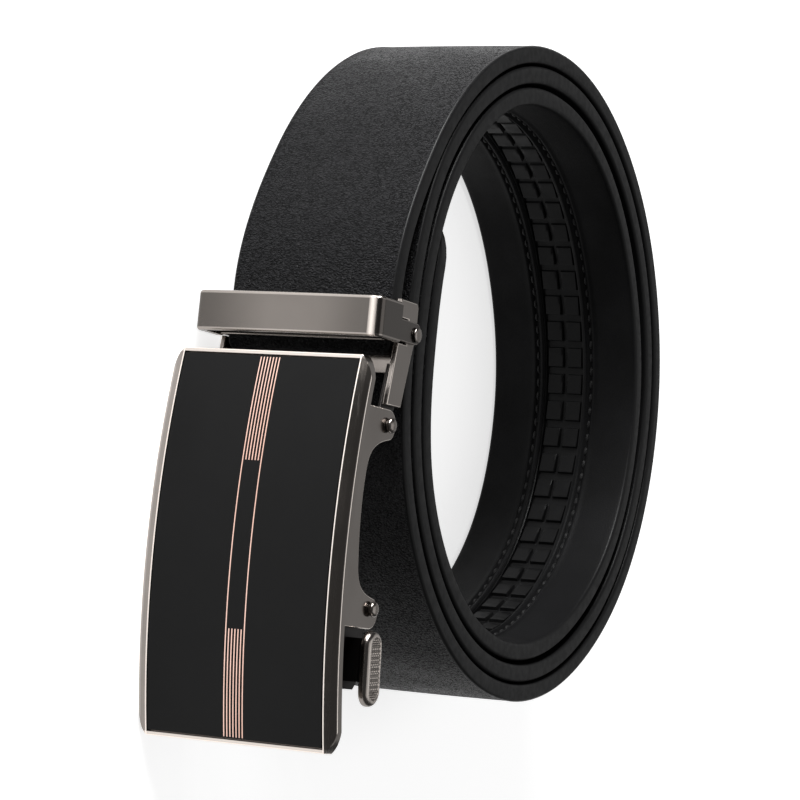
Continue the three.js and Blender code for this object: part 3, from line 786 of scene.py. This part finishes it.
clip_low, clip_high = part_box("clip_pin")
clip_y = (clip_low[1] + clip_high[1]) / 2 / MM - buckle_middle[1] / MM
flap_bar = rounded_prism(flap_outline(), flap_left, flap_right, bar_edge, along="x", steps=6)
jaw_outline = tidy_outline([[jaw_front, -ear_inner - 0.4], [jaw_back, -ear_inner - 0.4],
                            [jaw_back, ear_inner + 0.4], [jaw_front, ear_inner + 0.4]])
jaw = rounded_prism(jaw_outline, flap_left + 0.3, flap_right - 0.3, 0.2, along="x")
ear_left, ear_right = notch_left + 0.3, notch_right - 0.3
ear_middle, ear_radius = (ear_left + ear_right) / 2, (ear_right - ear_left) / 2
flap_ear_outline = tidy_outline([[ear_right, jaw_front], arc(ear_middle, clip_y, ear_radius, 0, 180),
                                 [ear_left, jaw_front]])
flap_ear = rounded_prism(flap_ear_outline, flap_outer - 1.1, flap_outer - 0.01, 0.2)
flap = make_piece("clamp_bar", [flap_bar, jaw, flap_ear, mirrored(flap_ear)], smooth_angle=32)
crisp_faces(flap)
facet_middle = flap_outer - bar_corner * (1 - math.sin(math.radians(facet_turn))) - facet_width / 2
highlight_width = 0.6


def corner_painted_highlight(centre, normal):
    """A painted highlight as a soft band down the corner that faces up: exp(-((z - middle) / width)^2) on
    the faces that look forward."""
    forward = (normal[:, 1] < -0.5) & (centre[:, 2] > facet_middle - facet_width)
    return forward * hump(centre[:, 2], facet_middle, highlight_width)


# Painted highlight down the bar's upper corner; its other edge highlights are kept at 0.3.
paint_highlight(flap, corner_painted_highlight, keep=0.3)
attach(flap, "root")
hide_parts("clamp_flap")

# %% The link behind the strap
link_low, link_high = (np.array(corner) / MM - buckle_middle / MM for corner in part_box("link"))
link_left = link_low[0]
lug_back = link_high[1]
strap_back = clamp_front + strap_thickness
base_front, base_back = strap_back + seat_gap, strap_back + seat_gap + 1.2
arm_front = clamp_front + 0.1
arm_right = hinge_x - hinge_lobe - 0.8
arm_taper = 1.9
lug_corner = 0.7
strap_end = clip_x + end_reach
base_end = strap_end + 1.6
tongue_outer, tongue_inner = ear_inner - 0.2, ear_inner - 0.8
tongue_radius = 2.3
print("link from", link_low.round(2), "to", link_high.round(2))


def link_shells():
    """Side walls with a notch for the flap's ears, stems inside them, and one base plate
    behind the strap. The tongues that go on to the hinge pin come back on their own."""
    wall_front = arm_front + 0.3
    wall = tidy_outline([[
        [link_left, wall_front], [notch_left, wall_front], [notch_left, base_front],
        [notch_right, base_front], [notch_right, wall_front],
        [arm_right, arm_front - arm_taper], [arm_right, base_front],
        [notch_right, lug_back - lug_corner], [notch_right - lug_corner, lug_back],
        [link_left + lug_corner, lug_back], [link_left, lug_back - lug_corner],
    ]])
    room = strap_end + 0.3
    arm = tidy_outline([[
        [room, arm_front], [arm_right, arm_front - arm_taper], [hinge_x, hinge_y - tongue_radius],
    ], arc(hinge_x, hinge_y, tongue_radius, -90, 90), [[arm_right, base_front], [room, base_back]]])
    base = tidy_outline([[
        [link_left, base_front], [base_end, base_front], [base_end, base_back], [link_left, base_back],
    ]])
    side = rounded_prism(wall, ear_inner, ear_outer - 0.15, 0.24)
    shells = [side, mirrored(side)]
    stem = tidy_outline([[[room, arm_front + 0.2], [arm_right - 0.2, arm_front - arm_taper + 0.3],
                          [arm_right - 0.2, base_front - 0.2], [room, base_front - 0.2]]])
    bridge = rounded_prism(stem, tongue_outer - 0.2, ear_inner + 0.3, 0.05)
    shells += [bridge, mirrored(bridge)]
    shells.append(rounded_prism(base, -ear_inner - 0.3, ear_inner + 0.3, 0.15))
    tongue = rounded_prism(arm, tongue_inner, tongue_outer, 0.15)
    return shells, [tongue, mirrored(tongue)]


link_walls, link_tongues = link_shells()
link = make_piece("clip_link", link_walls, smooth_angle=32)
crisp_faces(link)
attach(link, "root")
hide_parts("link")
tongues = make_piece("hinge_tongues", link_tongues, smooth_angle=32)
crisp_faces(tongues)
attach(tongues, "root")

# %% [markdown]
# ## Rivets
# A rivet is a turned shape, so it is a profile spun round its axis: radius and height in
# one array, sine and cosine in another. The head is a dome on a narrower foot, so that a
# dark ring shows round it.

# %% Three rivets
def rivet_shell(x, y, shank, seat, high):
    """Rows are rings of the profile (radius, z) from one head's top to the other's. The dome's
    radius is a share of the head's, and its height a share of high."""
    head = 1.45
    sides = 32
    dome = {
        "radius": [0.0, 0.25, 0.5, 0.7, 0.86, 0.96, 1.0, 1.0, 0.97, 0.86, 0.86],
        "height": [1.0, 0.985, 0.93, 0.85, 0.73, 0.58, 0.44, 0.3, 0.22, 0.16, 0.0],
    }
    radius = np.array(dome["radius"]) * head + 1e-4
    height = seat + seat_gap + np.array(dome["height"]) * high
    profile_r = np.concatenate([radius, [shank], [shank], radius[::-1]])
    profile_z = np.concatenate([height, [seat + seat_gap], [-seat - seat_gap], -height[::-1]])
    angle = np.linspace(0, 2 * np.pi, sides + 1)[:-1]
    ring = np.stack([np.cos(angle), np.sin(angle)], axis=-1)
    flat = profile_r[:, None, None] * ring[None] + [x, y]
    level = np.broadcast_to(profile_z[:, None, None], (len(profile_z), sides, 1))
    return grid_shell(np.concatenate([flat, level], axis=-1))


rivets = {
    "clip_rivet": {
        "node": "clip_pin", "body": "root",
        "shape": {"x": clip_x, "y": clip_y, "shank": 0.8, "seat": flap_outer, "high": 0.6},
    },
    "hinge_rivet": {
        "node": "hinge_pin", "body": "root",
        "shape": {"x": hinge_x, "y": hinge_y, "shank": 1.0, "seat": ear_outer, "high": 1.3},
    },
    "pawl_rivet": {
        "node": "pawl_pin", "body": "cover",
        "shape": {"x": pawl_x, "y": pawl_y, "shank": 1.0, "seat": ear_outer, "high": 1.3},
    },
}
rivet_pieces = []
for name, rivet in rivets.items():
    piece = make_piece(name, [rivet_shell(**rivet["shape"])])
    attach(piece, rivet["body"])
    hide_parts(rivet["node"])
    rivet_pieces.append(piece)

# %% [markdown]
# ## The release lever
# The lever is pressed with a fingertip, so its upper face is knurled: two families of
# slanting grooves that leave small pyramids. The face is worked out in rings that shrink
# from the outline to the centre line, which keeps the knurl square to the paddle's axis and
# lets the same rings run on over the rounded edge and down the smooth side. The tips of the
# pyramids get a painted highlight, a lighter colour than the grooves between them.

# %% The knurled paddle
lever_length, lever_width, lever_thickness = 14.0, 6.0, 1.9
lever_tilt = math.radians(4.5)
lever_bottom = ear_outer + 1.0
lever_x = pawl_x + 3.9 + lever_length / 2
lever_y = pawl_y - 1.5
lever_edge = 1.1
lever_foot = 0.4
knurl_pitch = 0.58
knurl_depth = 0.22


def knurl(x, y):
    """Pyramids: the lower of two triangle waves that run along the two diagonals."""
    def wave(t):
        return 1 - np.abs(2 * (t - np.floor(t)) - 1)
    return np.minimum(wave((x + y) / knurl_pitch / 1.414), wave((x - y) / knurl_pitch / 1.414))


def paddle_grid():
    """Rings from the centre line of the top, out over the edge, down and in to the bottom."""
    radius = lever_width / 2
    reach = lever_length / 2 - radius
    straight = np.linspace(-reach, reach, 67)[1:-1]
    bow_points = 79
    bow = np.radians(np.linspace(-90, 90, bow_points))
    spine = np.concatenate([
        np.full(bow_points, reach), straight[::-1], np.full(bow_points, -reach), straight,
    ])
    swing_x = np.concatenate([np.cos(bow), 0 * straight, -np.cos(bow), 0 * straight])
    swing_y = np.concatenate([np.sin(bow), 0 * straight + 1, -np.sin(bow), 0 * straight - 1])
    top_rings = np.linspace(0, radius - lever_edge, 30)
    turn = np.linspace(0, np.pi / 2, 7)[1:]
    ring_radius = np.concatenate([
        top_rings, radius - lever_edge * (1 - np.sin(turn)), [radius],
        radius - lever_foot * (1 - np.cos(turn)), [1.2, 0.0],
    ])
    drop = np.concatenate([
        0 * top_rings, lever_edge * (1 - np.cos(turn)), [lever_edge + 0.2],
        lever_thickness - lever_foot * (1 - np.sin(turn)), [lever_thickness, lever_thickness],
    ])
    x = spine[None] + ring_radius[:, None] * swing_x[None]
    y = ring_radius[:, None] * swing_y[None]
    on_top = np.zeros(len(ring_radius))
    on_top[: len(top_rings)] = np.clip((radius - lever_edge - top_rings) / 0.2, 0, 1)
    z = lever_bottom + lever_thickness - drop[:, None] - knurl_depth * on_top[:, None] * (1 - knurl(x, y))
    turned_x = x * math.cos(lever_tilt) - y * math.sin(lever_tilt)
    turned_y = x * math.sin(lever_tilt) + y * math.cos(lever_tilt)
    return np.stack([lever_x + turned_x, lever_y + turned_y, z], axis=-1)


lever = make_piece("release_paddle", [grid_shell(paddle_grid(), caps=False)], smooth_angle=40, weld=0.002)
lever_points = np.empty(3 * len(lever.data.vertices), np.float32)
lever.data.vertices.foreach_get("co", lever_points)
lever_top = float(place((0, 0, lever_bottom + lever_thickness))[2])
# Painted highlight on the tips of the knurl's pyramids.
tips = np.clip(1 - (lever_top - lever_points.reshape(-1, 3)[:, 2]) / (0.8 * knurl_depth * MM), 0, 1)
lever.data.attributes.new("painted edge highlight", "FLOAT", "POINT").data.foreach_set("value", tips.astype(np.float32))
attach(lever, "pawl")
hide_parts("lever")

# %% [markdown]
# ## Shader groups
# Several finishes share the same effects, so each effect is a node group with named inputs
# and outputs, built once. A group hands over masks, values and colours; the shader itself
# stays in each material. All patterns read object coordinates or the strap's own map, both
# in metres, so a size given in millimetres becomes a scale of one over that size.

# %% Helpers for node trees
def add(tree, kind, inputs=None, **settings):
    """A node with its settings, and with values or links for its named or numbered inputs."""
    node = tree.nodes.new(kind)
    for name, value in settings.items():
        setattr(node, name, value)
    for key, value in (inputs or {}).items():
        if isinstance(value, bpy.types.NodeSocket):
            tree.links.new(value, node.inputs[key])
        else:
            node.inputs[key].default_value = value
    return node


def maths(tree, operation, *values):
    """The result of a Math node on numbers or sockets."""
    return add(tree, "ShaderNodeMath", dict(enumerate(values)), operation=operation).outputs[0]


def remap(tree, value, low, high, to_low=0.0, to_high=1.0):
    """Value moved from the range low..high to another, smoothly at both ends."""
    inputs = {"Value": value, "From Min": low, "From Max": high, "To Min": to_low, "To Max": to_high}
    return add(tree, "ShaderNodeMapRange", inputs, interpolation_type="SMOOTHSTEP").outputs["Result"]


def new_group(name, inputs, outputs):
    """An empty group: inputs are (name, kind, value), outputs are (name, kind)."""
    group = bpy.data.node_groups.new(name, "ShaderNodeTree")
    for label, kind, value in inputs:
        socket = group.interface.new_socket(label, in_out="INPUT", socket_type="NodeSocket" + kind)
        if value is not None:
            socket.default_value = value
    for label, kind in outputs:
        group.interface.new_socket(label, in_out="OUTPUT", socket_type="NodeSocket" + kind)
    return group, group.nodes.new("NodeGroupInput").outputs, group.nodes.new("NodeGroupOutput").inputs


def noise(tree, vector, scale, detail=2.0, roughness=0.5):
    inputs = {"Vector": vector, "Scale": scale, "Detail": detail, "Roughness": roughness}
    return add(tree, "ShaderNodeTexNoise", inputs).outputs["Fac"]


def stretched(tree, vector, scale):
    """The vector times a scale for each axis."""
    return add(tree, "ShaderNodeVectorMath", {0: vector, 1: scale}, operation="MULTIPLY").outputs[0]


# %% Pebbled grain
def build_grain():
    """Pebbles are Voronoi cells, pushed about by noise so that no cell is round. Their height
    is the distance to the cell's border. Fine creases run where a slow noise n crosses one
    half, because |n - 1/2| is 0 there."""
    group, given, wanted = new_group(
        "pebbled grain",
        [
            ("Vector", "Vector", None), ("Pebbles per metre", "Float", 1800.0),
            ("Stretch", "Vector", (1.0, 1.0, 1.0)),
        ],
        [("Height", "Float"), ("Pores", "Float"), ("Patches", "Float")],
    )
    base = stretched(group, given["Vector"], given["Stretch"])
    size = {0: base, "Scale": given["Pebbles per metre"]}
    scaled = add(group, "ShaderNodeVectorMath", size, operation="SCALE").outputs[0]
    push = add(group, "ShaderNodeTexNoise", {"Vector": scaled, "Scale": 0.9, "Detail": 2.0}).outputs["Color"]
    shift = stretched(group, push, (1.3, 1.3, 1.3))
    moved = add(group, "ShaderNodeVectorMath", {0: scaled, 1: shift}, operation="ADD").outputs[0]
    cells = add(group, "ShaderNodeTexVoronoi", {"Vector": moved, "Scale": 1.0},
                feature="DISTANCE_TO_EDGE").outputs["Distance"]
    pebble = remap(group, cells, 0.0, 0.28)
    crease_noise = noise(group, moved, 0.55, 3.0, 0.6)
    away = maths(group, "ABSOLUTE", maths(group, "SUBTRACT", crease_noise, 0.5))
    crease = remap(group, away, 0.0, 0.09)
    high = maths(group, "MULTIPLY", pebble, 0.62)
    height = maths(group, "ADD", high, maths(group, "MULTIPLY", crease, 0.38))
    group.links.new(height, wanted["Height"])
    group.links.new(remap(group, height, 0.1, 0.55, 1.0, 0.0), wanted["Pores"])
    group.links.new(remap(group, noise(group, scaled, 0.035, 3.0), 0.3, 0.7), wanted["Patches"])
    return group


grain_group = build_grain()


# %% Handling marks
def build_marks():
    """Rub is a slow blotch from skin and cloth. Scratches are thin lines: noise that Direction
    stretches where its scale is small, cut off high. Grain is a finer noise stretched alike."""
    group, given, wanted = new_group(
        "handling marks",
        [
            ("Vector", "Vector", None), ("Blotches per metre", "Float", 120.0),
            ("Direction", "Vector", (1.0, 1.0, 1.0)),
        ],
        [("Rub", "Float"), ("Scratches", "Float"), ("Grain", "Float")],
    )
    blotch = noise(group, given["Vector"], given["Blotches per metre"], 3.0, 0.55)
    group.links.new(remap(group, blotch, 0.32, 0.68), wanted["Rub"])
    lines = stretched(group, given["Vector"], given["Direction"])
    group.links.new(remap(group, noise(group, lines, 900.0, 2.0, 0.6), 0.62, 0.72), wanted["Scratches"])
    group.links.new(noise(group, lines, 4200.0, 2.0, 0.6), wanted["Grain"])
    return group


marks_group = build_marks()
print("shader groups", [group.name for group in bpy.data.node_groups])


# %% Starting a material
def new_material(name, color, roughness, metallic=0.0, **sockets):
    """A material with a Principled shader, its plain numbers set on the shader itself."""
    material = bpy.data.materials.new(name)
    material.use_nodes = True
    material.diffuse_color = (*color, 1)
    tree = material.node_tree
    shader = tree.nodes["Principled BSDF"]
    shader.inputs["Base Color"].default_value = (*color, 1)
    shader.inputs["Roughness"].default_value = roughness
    shader.inputs["Metallic"].default_value = metallic
    for socket, value in sockets.items():
        shader.inputs[socket.replace("_", " ")].default_value = value
    return material, tree, shader


def pebbled(tree, vector, pebbles, stretch):
    """The pebbled grain in this material: so many pebbles per metre, scaled along each axis."""
    inputs = {"Vector": vector, "Pebbles per metre": pebbles, "Stretch": stretch}
    return add(tree, "ShaderNodeGroup", inputs, node_tree=grain_group).outputs


def handled(tree, vector, blotches, direction):
    """The handling marks in this material: so many blotches per metre, and the direction in
    which it was rubbed, as the smallest of three scales."""
    inputs = {"Vector": vector, "Blotches per metre": blotches, "Direction": direction}
    return add(tree, "ShaderNodeGroup", inputs, node_tree=marks_group).outputs


def object_vector(tree):
    return add(tree, "ShaderNodeTexCoord").outputs["Object"]


def strap_vector(tree):
    return add(tree, "ShaderNodeUVMap", None, uv_map="along and round").outputs["UV"]


def mix_color(tree, share, a, b):
    """Colour a where share is 0, colour b where it is 1. Each is three numbers or a socket."""
    colors = [c if isinstance(c, bpy.types.NodeSocket) else (*c, 1) for c in (a, b)]
    return add(tree, "ShaderNodeMix", {0: share, 6: colors[0], 7: colors[1]}, data_type="RGBA").outputs[2]


def bump(tree, shader, height, distance_mm, strength=1.0):
    inputs = {"Height": height, "Distance": distance_mm * MM, "Strength": strength}
    node = add(tree, "ShaderNodeBump", inputs)
    tree.links.new(node.outputs["Normal"], shader.inputs["Normal"])


# %% [markdown]
# ## Leather, edge paint and lining
# The outer leather is black with a fine pebble, a little longer across the strap than
# along it, and a satin top coat. Pressed and rubbed places shine more than the pores. The
# edges are filled with a thick black paint that flows smooth. The lining is softer and more
# even, with a much finer grain.

# %% The strap's three finishes
def leather_material():
    material, tree, shader = new_material("pebbled_leather", (0.003, 0.003, 0.0033), 0.5,
                                          Specular_IOR_Level=0.072)
    vector = strap_vector(tree)
    grain = pebbled(tree, vector, 1500.0, (1.35, 0.8, 1.0))
    color = mix_color(tree, grain["Pores"], (0.009, 0.009, 0.0098), (0.0012, 0.0012, 0.0014))
    tree.links.new(color, shader.inputs["Base Color"])
    patches = remap(tree, grain["Patches"], 0.0, 1.0, 0.33, 0.41)
    rough = maths(tree, "ADD", patches, maths(tree, "MULTIPLY", grain["Pores"], 0.3))
    tree.links.new(rough, shader.inputs["Roughness"])
    bump(tree, shader, grain["Height"], 0.3, 1.0)
    return material


def edge_paint_material():
    material, tree, shader = new_material("edge_paint", (0.006, 0.006, 0.0062), 0.38,
                                          Specular_IOR_Level=0.11)
    vector = object_vector(tree)
    flow = noise(tree, vector, 650.0, 3.0, 0.55)
    tree.links.new(remap(tree, flow, 0.3, 0.7, 0.34, 0.46), shader.inputs["Roughness"])
    color = mix_color(tree, noise(tree, vector, 60.0), (0.005, 0.005, 0.0052), (0.008, 0.008, 0.0083))
    tree.links.new(color, shader.inputs["Base Color"])
    bump(tree, shader, flow, 0.05, 0.5)
    return material


def lining_material():
    material, tree, shader = new_material("lining", (0.005, 0.005, 0.0053), 0.5, Specular_IOR_Level=0.06)
    vector = strap_vector(tree)
    grain = pebbled(tree, vector, 2600.0, (1.0, 1.0, 1.0))
    marks = handled(tree, vector, 60.0, (1.0, 0.2, 1.0))
    color = mix_color(tree, marks["Rub"], (0.004, 0.004, 0.0042), (0.0062, 0.0062, 0.0066))
    tree.links.new(color, shader.inputs["Base Color"])
    tree.links.new(remap(tree, marks["Rub"], 0.0, 1.0, 0.52, 0.42), shader.inputs["Roughness"])
    bump(tree, shader, grain["Height"], 0.03, 0.6)
    return material


leather, edge_paint, lining = leather_material(), edge_paint_material(), lining_material()
for material in (leather, edge_paint, lining):
    strap.data.materials.append(material)
strap.data.polygons.foreach_set("material_index", finish)

# %% [markdown]
# ## Track plastic and thread
# The moulding has the faint haze of a soft plastic that was pulled warm from its mould. The
# thread is twisted from strands, so fine slanting waves run round it.

# %% Plastic and thread
def track_material():
    material, tree, shader = new_material("track_plastic", (0.005, 0.005, 0.0052), 0.4,
                                          Specular_IOR_Level=0.1)
    vector = object_vector(tree)
    marks = handled(tree, vector, 260.0, (1.0, 1.0, 0.3))
    tree.links.new(remap(tree, marks["Rub"], 0.0, 1.0, 0.34, 0.48), shader.inputs["Roughness"])
    color = mix_color(tree, marks["Rub"], (0.0042, 0.0042, 0.0044), (0.0062, 0.0062, 0.0064))
    tree.links.new(color, shader.inputs["Base Color"])
    bump(tree, shader, marks["Grain"], 0.01, 0.5)
    return material


def thread_material():
    material, tree, shader = new_material("waxed_thread", (0.006, 0.006, 0.0062), 0.55,
                                          Specular_IOR_Level=0.2, Sheen_Weight=0.05)
    vector = object_vector(tree)
    strands = {"Vector": vector, "Scale": 1300.0, "Distortion": 1.2, "Detail": 1.0}
    wave = add(tree, "ShaderNodeTexWave", strands, wave_type="BANDS",
               bands_direction="DIAGONAL").outputs["Fac"]
    color = mix_color(tree, wave, (0.003, 0.003, 0.0032), (0.009, 0.009, 0.0093))
    tree.links.new(color, shader.inputs["Base Color"])
    bump(tree, shader, wave, 0.06, 0.7)
    return material


track.data.materials.append(track_material())
stitches.data.materials.append(thread_material())

# %% [markdown]
# ## Plated metal
# The buckle is cast and stamped metal with a dark warm nickel plating, called gunmetal.
# Plating keeps a trace of the polishing lines under it, and skin leaves cloudy patches that
# change its gloss but hardly its colour. Narrow rounded edges and a few bands are given a
# painted highlight, a lighter colour. The clamp bar gets a painted shade towards both ends,
# and the pawl and the hinge tongues get a dark colour as painted shade. One function makes
# every metal part's finish, and each part says which way it was polished.

# %% Metal finishes
# Painted shade towards both ends of a piece.
painted_shade_share = 0.9
painted_shade_factor = 0.5


def metal_material(name, color, shade, roughness, direction, edge_highlight_gain=2.6, fade=None):
    """color where the plating is clean and shade where it is clouded; roughness is (low, high).
    Faces marked in the painted edge highlight attribute get a painted highlight: they are
    edge_highlight_gain times as bright as the faces. fade holds the distances from the strap's
    middle, in millimetres, between which a painted shade darkens the colour towards both ends of
    the piece, by painted_shade_share of the way to painted_shade_factor times the colour."""
    material, tree, shader = new_material(name, color, roughness[0], 1.0)
    vector = object_vector(tree)
    marks = handled(tree, vector, 70.0, direction)
    band = add(tree, "ShaderNodeAttribute", attribute_name="painted edge highlight").outputs["Fac"]
    plated = mix_color(tree, marks["Rub"], color, shade)
    # Painted shade: the colour darkens towards both ends of the piece.
    if fade:
        height = add(tree, "ShaderNodeSeparateXYZ", {0: vector}).outputs["Z"]
        off = maths(tree, "ABSOLUTE", maths(tree, "SUBTRACT", height, float(buckle_middle[2])))
        ends = maths(tree, "MULTIPLY", remap(tree, off, fade[0] * MM, fade[1] * MM), painted_shade_share)
        plated = mix_color(tree, ends, plated, tuple(painted_shade_factor * channel for channel in color))
    # Painted highlight: marked edge faces get a lighter colour.
    bright = tuple(min(edge_highlight_gain * channel, 0.9) for channel in color)
    tree.links.new(mix_color(tree, band, plated, bright), shader.inputs["Base Color"])
    cloud = remap(tree, marks["Rub"], 0.0, 1.0, *roughness)
    rough = maths(tree, "ADD", cloud, maths(tree, "MULTIPLY", marks["Scratches"], 0.05))
    tree.links.new(rough, shader.inputs["Roughness"])
    bump(tree, shader, marks["Grain"], 0.004, 0.5)
    return material


gunmetal = {"color": (0.26, 0.236, 0.218), "shade": (0.235, 0.212, 0.195)}
metal_finishes = {
    "gunmetal_plate": {
        **gunmetal, "roughness": (0.13, 0.2), "direction": (0.03, 1.0, 1.0), "edge_highlight_gain": 3.2,
    },
    # The bar's fade is a painted shade towards its ends.
    "gunmetal_bar": {
        "color": (0.18, 0.163, 0.15), "shade": (0.163, 0.147, 0.135), "roughness": (0.22, 0.28),
        "direction": (1.0, 1.0, 0.03), "edge_highlight_gain": 4.2, "fade": (3, 18.5),
    },
    "gunmetal_small": {
        **gunmetal, "roughness": (0.2, 0.28), "direction": (1.0, 1.0, 1.0), "edge_highlight_gain": 2.4,
    },
    "rose_gold": {
        "color": (0.86, 0.58, 0.49), "shade": (0.78, 0.5, 0.41), "roughness": (0.3, 0.38),
        "direction": (0.03, 1.0, 1.0),
    },
    # A dark colour as painted shade, for parts that sit in shade.
    "dark_steel": {
        "color": (0.026, 0.024, 0.023), "shade": (0.018, 0.017, 0.016), "roughness": (0.36, 0.46),
        "direction": (1.0, 1.0, 1.0),
    },
}
metals = {name: metal_material(name, **finish) for name, finish in metal_finishes.items()}


def gloss_material():
    """Black gloss sheet: nearly mirror smooth, with a very slow wave that bends reflections."""
    material, tree, shader = new_material("black_gloss", (0.004, 0.004, 0.004), 0.09,
                                          Specular_IOR_Level=0.11)
    vector = object_vector(tree)
    marks = handled(tree, vector, 40.0, (0.1, 1.0, 1.0))
    color = mix_color(tree, marks["Rub"], (0.0036, 0.0036, 0.0037), (0.0046, 0.0046, 0.0047))
    tree.links.new(color, shader.inputs["Base Color"])
    tree.links.new(remap(tree, marks["Rub"], 0.0, 1.0, 0.07, 0.12), shader.inputs["Roughness"])
    bump(tree, shader, noise(tree, vector, 45.0), 0.02, 0.2)
    return material


cover.data.materials.append(metals["gunmetal_plate"])
panel.data.materials.append(gloss_material())
lines.data.materials.append(metals["rose_gold"])
flap.data.materials.append(metals["gunmetal_bar"])
for piece in (link, lever, *rivet_pieces):
    piece.data.materials.append(metals["gunmetal_small"])
# The pawl and the hinge tongues get the dark colour as painted shade.
pawl_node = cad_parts["pawl"]
pawl_node.data.materials.clear()
for piece in (pawl_node, tongues):
    piece.data.materials.append(metals["dark_steel"])
print("materials", len(bpy.data.materials))

# %% [markdown]
# ## Floor, light and camera
# The floor is a wide pale sheet that glows a little, as a light table does, so that it stays
# white round a dark object. Dark leather and plating are drawn by what they mirror, so the
# lights are large and soft: one beside the clamp, a faint panel behind the coil, a wide one
# above, and the floor itself. The camera looks down at the lying belt from the front, turned
# on its side, so that the plate stands upright in the picture.

# %% Floor
floor_half = 3000.0
grid = np.linspace(-floor_half, floor_half, 9)
floor_x, floor_y = np.meshgrid(grid, grid, indexing="ij")
floor_z = np.full_like(floor_x, -half_plate)
floor_shell = grid_shell(np.stack([floor_x, floor_y, floor_z], axis=-1), ring=False, caps=False)
floor = make_piece("floor", [floor_shell])
floor_material, tree, shader = new_material("pale_floor", (0.86, 0.86, 0.86), 0.85,
                                            Emission_Color=(1, 1, 1, 1), Emission_Strength=0.66)
clouds = noise(tree, object_vector(tree), 3.0)
pale = mix_color(tree, clouds, (0.85, 0.85, 0.85), (0.88, 0.88, 0.88))
tree.links.new(pale, shader.inputs["Base Color"])
floor.data.materials.append(floor_material)


# %% Lights
def aim(item, direction, up):
    """Turns a light or camera so that it looks along direction, with up upwards in its view."""
    back = -np.array(direction, float) / np.linalg.norm(direction)
    right = np.cross(up, back)
    right /= np.linalg.norm(right)
    turn = np.stack([right, np.cross(back, right), back], axis=1)
    item.rotation_euler = Matrix(turn.tolist()).to_euler()


overhead = 600


def area_light(name, at, towards, size, power):
    """A rectangular light at a point in millimetres, aimed at another, with sizes in
    millimetres. One that hangs overhead takes y as the way up, because z points at it."""
    data = bpy.data.lights.new(name, "AREA")
    data.shape = "RECTANGLE"
    data.size, data.size_y = size[0] * MM, size[1] * MM
    data.energy = power
    light = bpy.data.objects.new(name, data)
    bpy.context.scene.collection.objects.link(light)
    light.location = place(at)
    up = (0, 0, 1) if abs(at[2]) < overhead else (0, 1, 0)
    aim(light, np.array(towards, float) - at, up)


area_light("side light", (-640, -250, 120), (-100, 40, 0), (560, 260), 13)
area_light("back panel", (-80, 900, 460), (0, 0, 20), (1000, 760), 0.8)
area_light("top light", (100, 200, 1100), (0, 60, 0), (1200, 1200), 4.0)

world = bpy.context.scene.world or bpy.data.worlds.new("studio")
bpy.context.scene.world = world
world.use_nodes = True
world.node_tree.nodes["Background"].inputs["Color"].default_value = (1, 1, 1, 1)
world.node_tree.nodes["Background"].inputs["Strength"].default_value = 0.09
bpy.context.scene.view_settings.view_transform = "Standard"

# %% Camera
camera_lens, sensor = 137.982, 36.0
camera_at = (20.143, -490.222, 278.818)
camera_look = (-0.08759, 0.886458, -0.454446)
camera_up = (-0.991661, -0.120884, -0.044668)
camera_data = bpy.data.cameras.new("camera")
camera_data.lens = camera_lens
camera_data.sensor_width = sensor
camera = bpy.data.objects.new("camera", camera_data)
bpy.context.scene.collection.objects.link(camera)
camera.location = place(camera_at)
aim(camera, camera_look, camera_up)
bpy.context.scene.camera = camera
print("camera", [round(c, 4) for c in camera.location])
